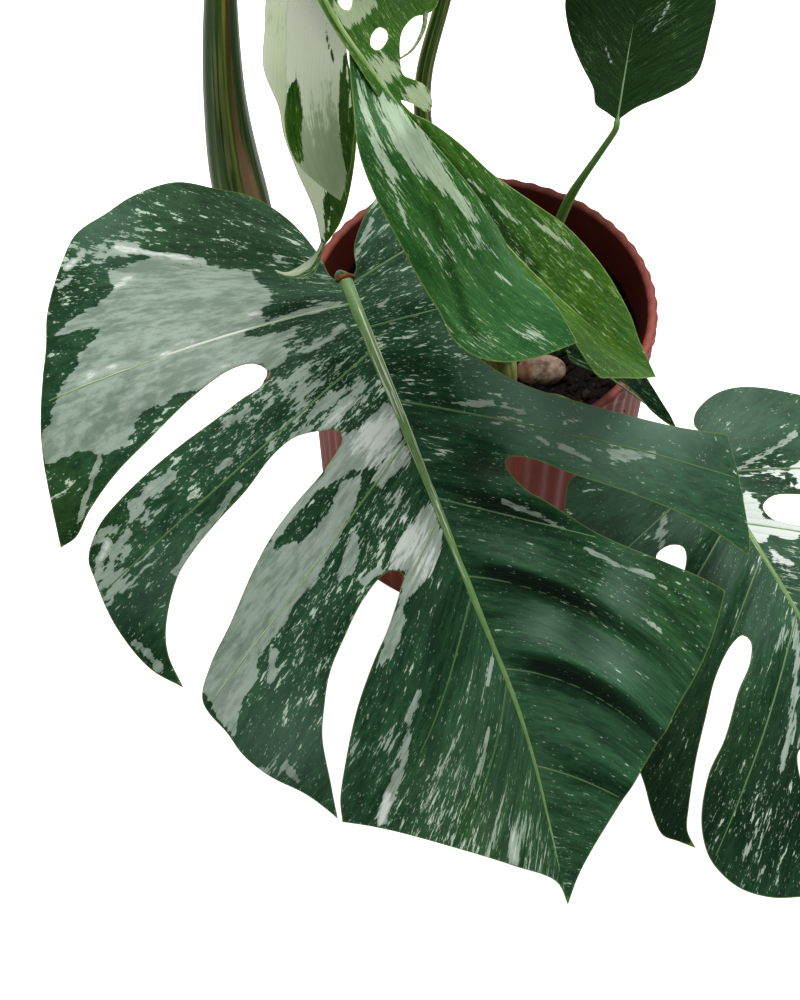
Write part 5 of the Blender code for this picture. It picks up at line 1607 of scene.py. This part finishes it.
def buildCrumbTree():
    # crumbs strewn over the upward faces, each lumpy, turned and sized at random
    tree, given, out = meshTree("crumbs", [
        ("Density", "Float", 60000.0), ("Smallest", "Float", 0.0008), ("Largest", "Float", 0.003),
        ("Flatness", "Vector", (1.0, 0.9, 0.7)), ("Lumps", "Float", 0.5), ("Seed", "Int", 1),
        ("Material", "Material", None)])

    def between(seed):
        inputs = {2: 0.0, 3: 1.0, "Seed": seed}
        return newNode(tree, "FunctionNodeRandomValue", inputs, data_type="FLOAT").outputs[1]

    upward = parted(tree, geo(tree, "InputNormal"))[2]
    facing = newNode(tree, "FunctionNodeCompare", {0: upward, 1: 0.6}, operation="GREATER_THAN")
    strewn = geo(tree, "DistributePointsOnFaces", {
        "Mesh": given["Mesh"], "Selection": facing.outputs[0], "Density": given["Density"],
        "Seed": given["Seed"]})
    place = geo(tree, "InputPosition")
    lump = newNode(tree, "ShaderNodeTexNoise", {"Vector": place, "Scale": 1.3, "Detail": 2.0})
    size = maths(tree, "MULTIPLY_ADD", maths(tree, "SUBTRACT", lump.outputs["Fac"], 0.5),
                 maths(tree, "MULTIPLY", given["Lumps"], 4.0), 1.0)
    shaped = vectorMaths(tree, "SCALE", {0: place, "Scale": size})
    shaped = vectorMaths(tree, "MULTIPLY", {0: shaped, 1: given["Flatness"]})
    ball = geo(tree, "MeshIcoSphere", {"Radius": 1.0, "Subdivisions": 2})
    ball = geo(tree, "SetPosition", {0: ball, "Position": shaped})
    turn = newNode(tree, "FunctionNodeRandomValue",
                   {0: (-0.5, -0.5, 0.0), 1: (0.5, 0.5, 6.28), "Seed": given["Seed"]},
                   data_type="FLOAT_VECTOR")
    scale = newNode(tree, "ShaderNodeMapRange", {
        "Value": maths(tree, "POWER", between(7), 2.2), "To Min": given["Smallest"],
        "To Max": given["Largest"]})
    grown = geo(tree, "InstanceOnPoints", {"Points": strewn, "Instance": ball,
                                           "Rotation": turn.outputs[0], "Scale": scale.outputs[0]})
    grown = stored(tree, grown, "tone", between(11), domain="INSTANCE")
    ended(tree, grown, given["Material"], out)
    return tree


def soilMaterial(name, dark, brown, light, lightShare):
    # tone is each crumb's own: a few are brown, and fewer are light
    made, tree, shader = newMaterial(name, Roughness=0.9, Specular_IOR_Level=0.1)
    mottle = mottled(tree, objectPlace(tree), 7.0, 0.8, 1.4)
    tone = attribute(tree, "tone")
    base = mixed(tree, mottle["Tone"], dark, brown)
    base = mixed(tree, ramp(tree, mottle["Fine"], 0.58, 0.70, 0.0, lightShare), base, light)
    base = tinted(tree, base, ramp(tree, tone, 0.7, 1.0), 0.8, brown)
    base = mixed(tree, ramp(tree, tone, 0.92, 1.0, 0.0, lightShare), base, light)
    coloured(tree, shader, base, maths(tree, "MULTIPLY_ADD", mottle["Fine"], 0.3, 0.7))
    bumped(tree, shader, mottle["Height"], 0.8 * mm)
    return made


darkSoil = soilMaterial("darkSoil", colour(9, 6, 5), colour(24, 17, 13), colour(70, 54, 42), 0.3)
barkChip = soilMaterial("barkChip", colour(36, 20, 12), colour(84, 48, 28), colour(140, 92, 60),
                        0.5)
strewnBits = {
    "soilCrumbs": (2100, {
        "Smallest": 0.7 * mm, "Largest": 4.2 * mm, "Flatness": (1.0, 0.85, 0.7), "Lumps": 0.55,
        "Seed": 3, "Material": darkSoil}),
    "barkChips": (120, {
        "Smallest": 1.6 * mm, "Largest": 5.5 * mm, "Flatness": (1.5, 0.7, 0.35), "Lumps": 0.45,
        "Seed": 8, "Material": barkChip}),
}
soil = joinedMesh("soilTop", [soilMesh("soilTop")], soilSize["smoothTo"])
soilArea = math.pi * (soilSize["radius"] * mm) ** 2
crumbTree = buildCrumbTree()
strewn = [grownMesh(name, soil.data.copy(), crumbTree, {"Density": count / soilArea, **values})
          for name, (count, values) in strewnBits.items()]
finished(soil, "soil", darkSoil)
for thing in strewn:
    finished(thing, None)

pebbleSize = {"place": (37, -32, 167), "half": (16.5, 12, 8.5), "smoothTo": 80}
pebbleStain = {"place": (0.026, -0.036, 0.171), "full": 0.004, "gone": 0.009, "share": 0.7}


def pebbleMesh(name):
    # a ball, flattened and made uneven by a few waves
    work = bmesh.new()
    bmesh.ops.create_icosphere(work, subdivisions=5, radius=1)
    half, place = np.array(pebbleSize["half"]), np.array(pebbleSize["place"])
    for spot in work.verts:
        x, y, z = spot.co
        swell = 1 + 0.07 * math.sin(2.1 * x + 1.1) * math.cos(2.6 * y)
        swell -= 0.06 * math.cos(3 * z + x)
        swell += 0.012 * math.sin(9 * x + 4 * y) * math.cos(8 * z - 3 * y)
        spot.co = (np.array(spot.co) * half * swell + place) * mm
    return meshOf(name, work)


def pebbleMaterial(stain):
    made, tree, shader = newMaterial("palePebble", Roughness=0.7, Specular_IOR_Level=0.2)
    place = objectPlace(tree)
    mottle = mottled(tree, place, 6.0, 0.9, 1.8)
    base = mixed(tree, mottle["Tone"], colour(96, 76, 62), colour(168, 146, 126))
    base = mixed(tree, ramp(tree, mottle["Fine"], 0.56, 0.68, 0.0, 0.6), base, colour(76, 56, 46))
    away = newNode(tree, "ShaderNodeVectorMath", {0: place, 1: stain["place"]},
                   operation="DISTANCE").outputs["Value"]
    stained = ramp(tree, away, stain["full"], stain["gone"], stain["share"], 0.0)
    coloured(tree, shader, mixed(tree, stained, base, colour(128, 74, 58)))
    bumped(tree, shader, mottle["Height"], 0.5 * mm, 0.8)
    return made


pebble = joinedMesh("pebbleStone", [pebbleMesh("pebbleStone")], pebbleSize["smoothTo"])
finished(pebble, "pebble", pebbleMaterial(pebbleStain))
print("soil and pebble made")


# Floor, light and camera

studio = {
    "floorSpread": 60.0, "floorGlow": 0.9, "worldStrength": 0.26, "aim": (0.0, -0.08, 0.25),
    "keyLight": {"place": (0.35, 0.8, 2.1), "power": 82.0, "size": 2.0},
    "fillLight": {"place": (-1.5, -1.2, 1.3), "power": 3.0, "size": 1.2},
}
cameraPlan = {"lens": 72, "sensor_width": 36, "clip_end": 50}
cameraPlace = (-0.050625, -0.8318136, 1.13073701)
cameraTilt = 54  # degrees below level


def addFloor():
    made, tree, shader = newMaterial("paleFloor", Roughness=0.9, Emission_Color=(1, 1, 1, 1))
    seen = newNode(tree, "ShaderNodeLightPath").outputs["Is Camera Ray"]
    tree.links.new(maths(tree, "MULTIPLY", seen, studio["floorGlow"]),
                   shader.inputs["Emission Strength"])
    grain = noise(tree, objectPlace(tree), 9, 3)
    coloured(tree, shader, mixed(tree, grain, colour(246, 246, 246), colour(252, 252, 252)))
    mesh = bpy.data.meshes.new("floor")
    half = studio["floorSpread"]
    mesh.from_pydata([(-half, -half, 0), (half, -half, 0), (half, half, 0), (-half, half, 0)],
                     [], [(0, 1, 2, 3)])
    mesh.materials.append(made)
    linked("floor", mesh)


def addLight(name, plan):
    lamp = bpy.data.lights.new(name, "AREA")
    lamp.energy = plan["power"]
    lamp.size = plan["size"]
    thing = linked(name, lamp)
    thing.location = plan["place"]
    aim = Vector(studio["aim"]) - thing.location
    thing.rotation_euler = aim.to_track_quat("-Z", "Y").to_euler()


def addWorld():
    world = bpy.data.worlds.new("studioWorld")
    bpy.context.scene.world = world
    world.use_nodes = True
    backdrop = world.node_tree.nodes["Background"]
    backdrop.inputs["Color"].default_value = (1.0, 1.0, 1.0, 1.0)
    backdrop.inputs["Strength"].default_value = studio["worldStrength"]


def addCamera():
    lens = bpy.data.cameras.new("camera")
    for title, value in cameraPlan.items():
        setattr(lens, title, value)
    camera = linked("camera", lens)
    camera.location = cameraPlace
    camera.rotation_euler = (math.radians(90 - cameraTilt), 0, 0)
    bpy.context.scene.camera = camera


addFloor()
addWorld()
for name in ("keyLight", "fillLight"):
    addLight(name, studio[name])
addCamera()
bpy.context.scene.view_settings.view_transform = "Standard"
print("floor, light and camera set")
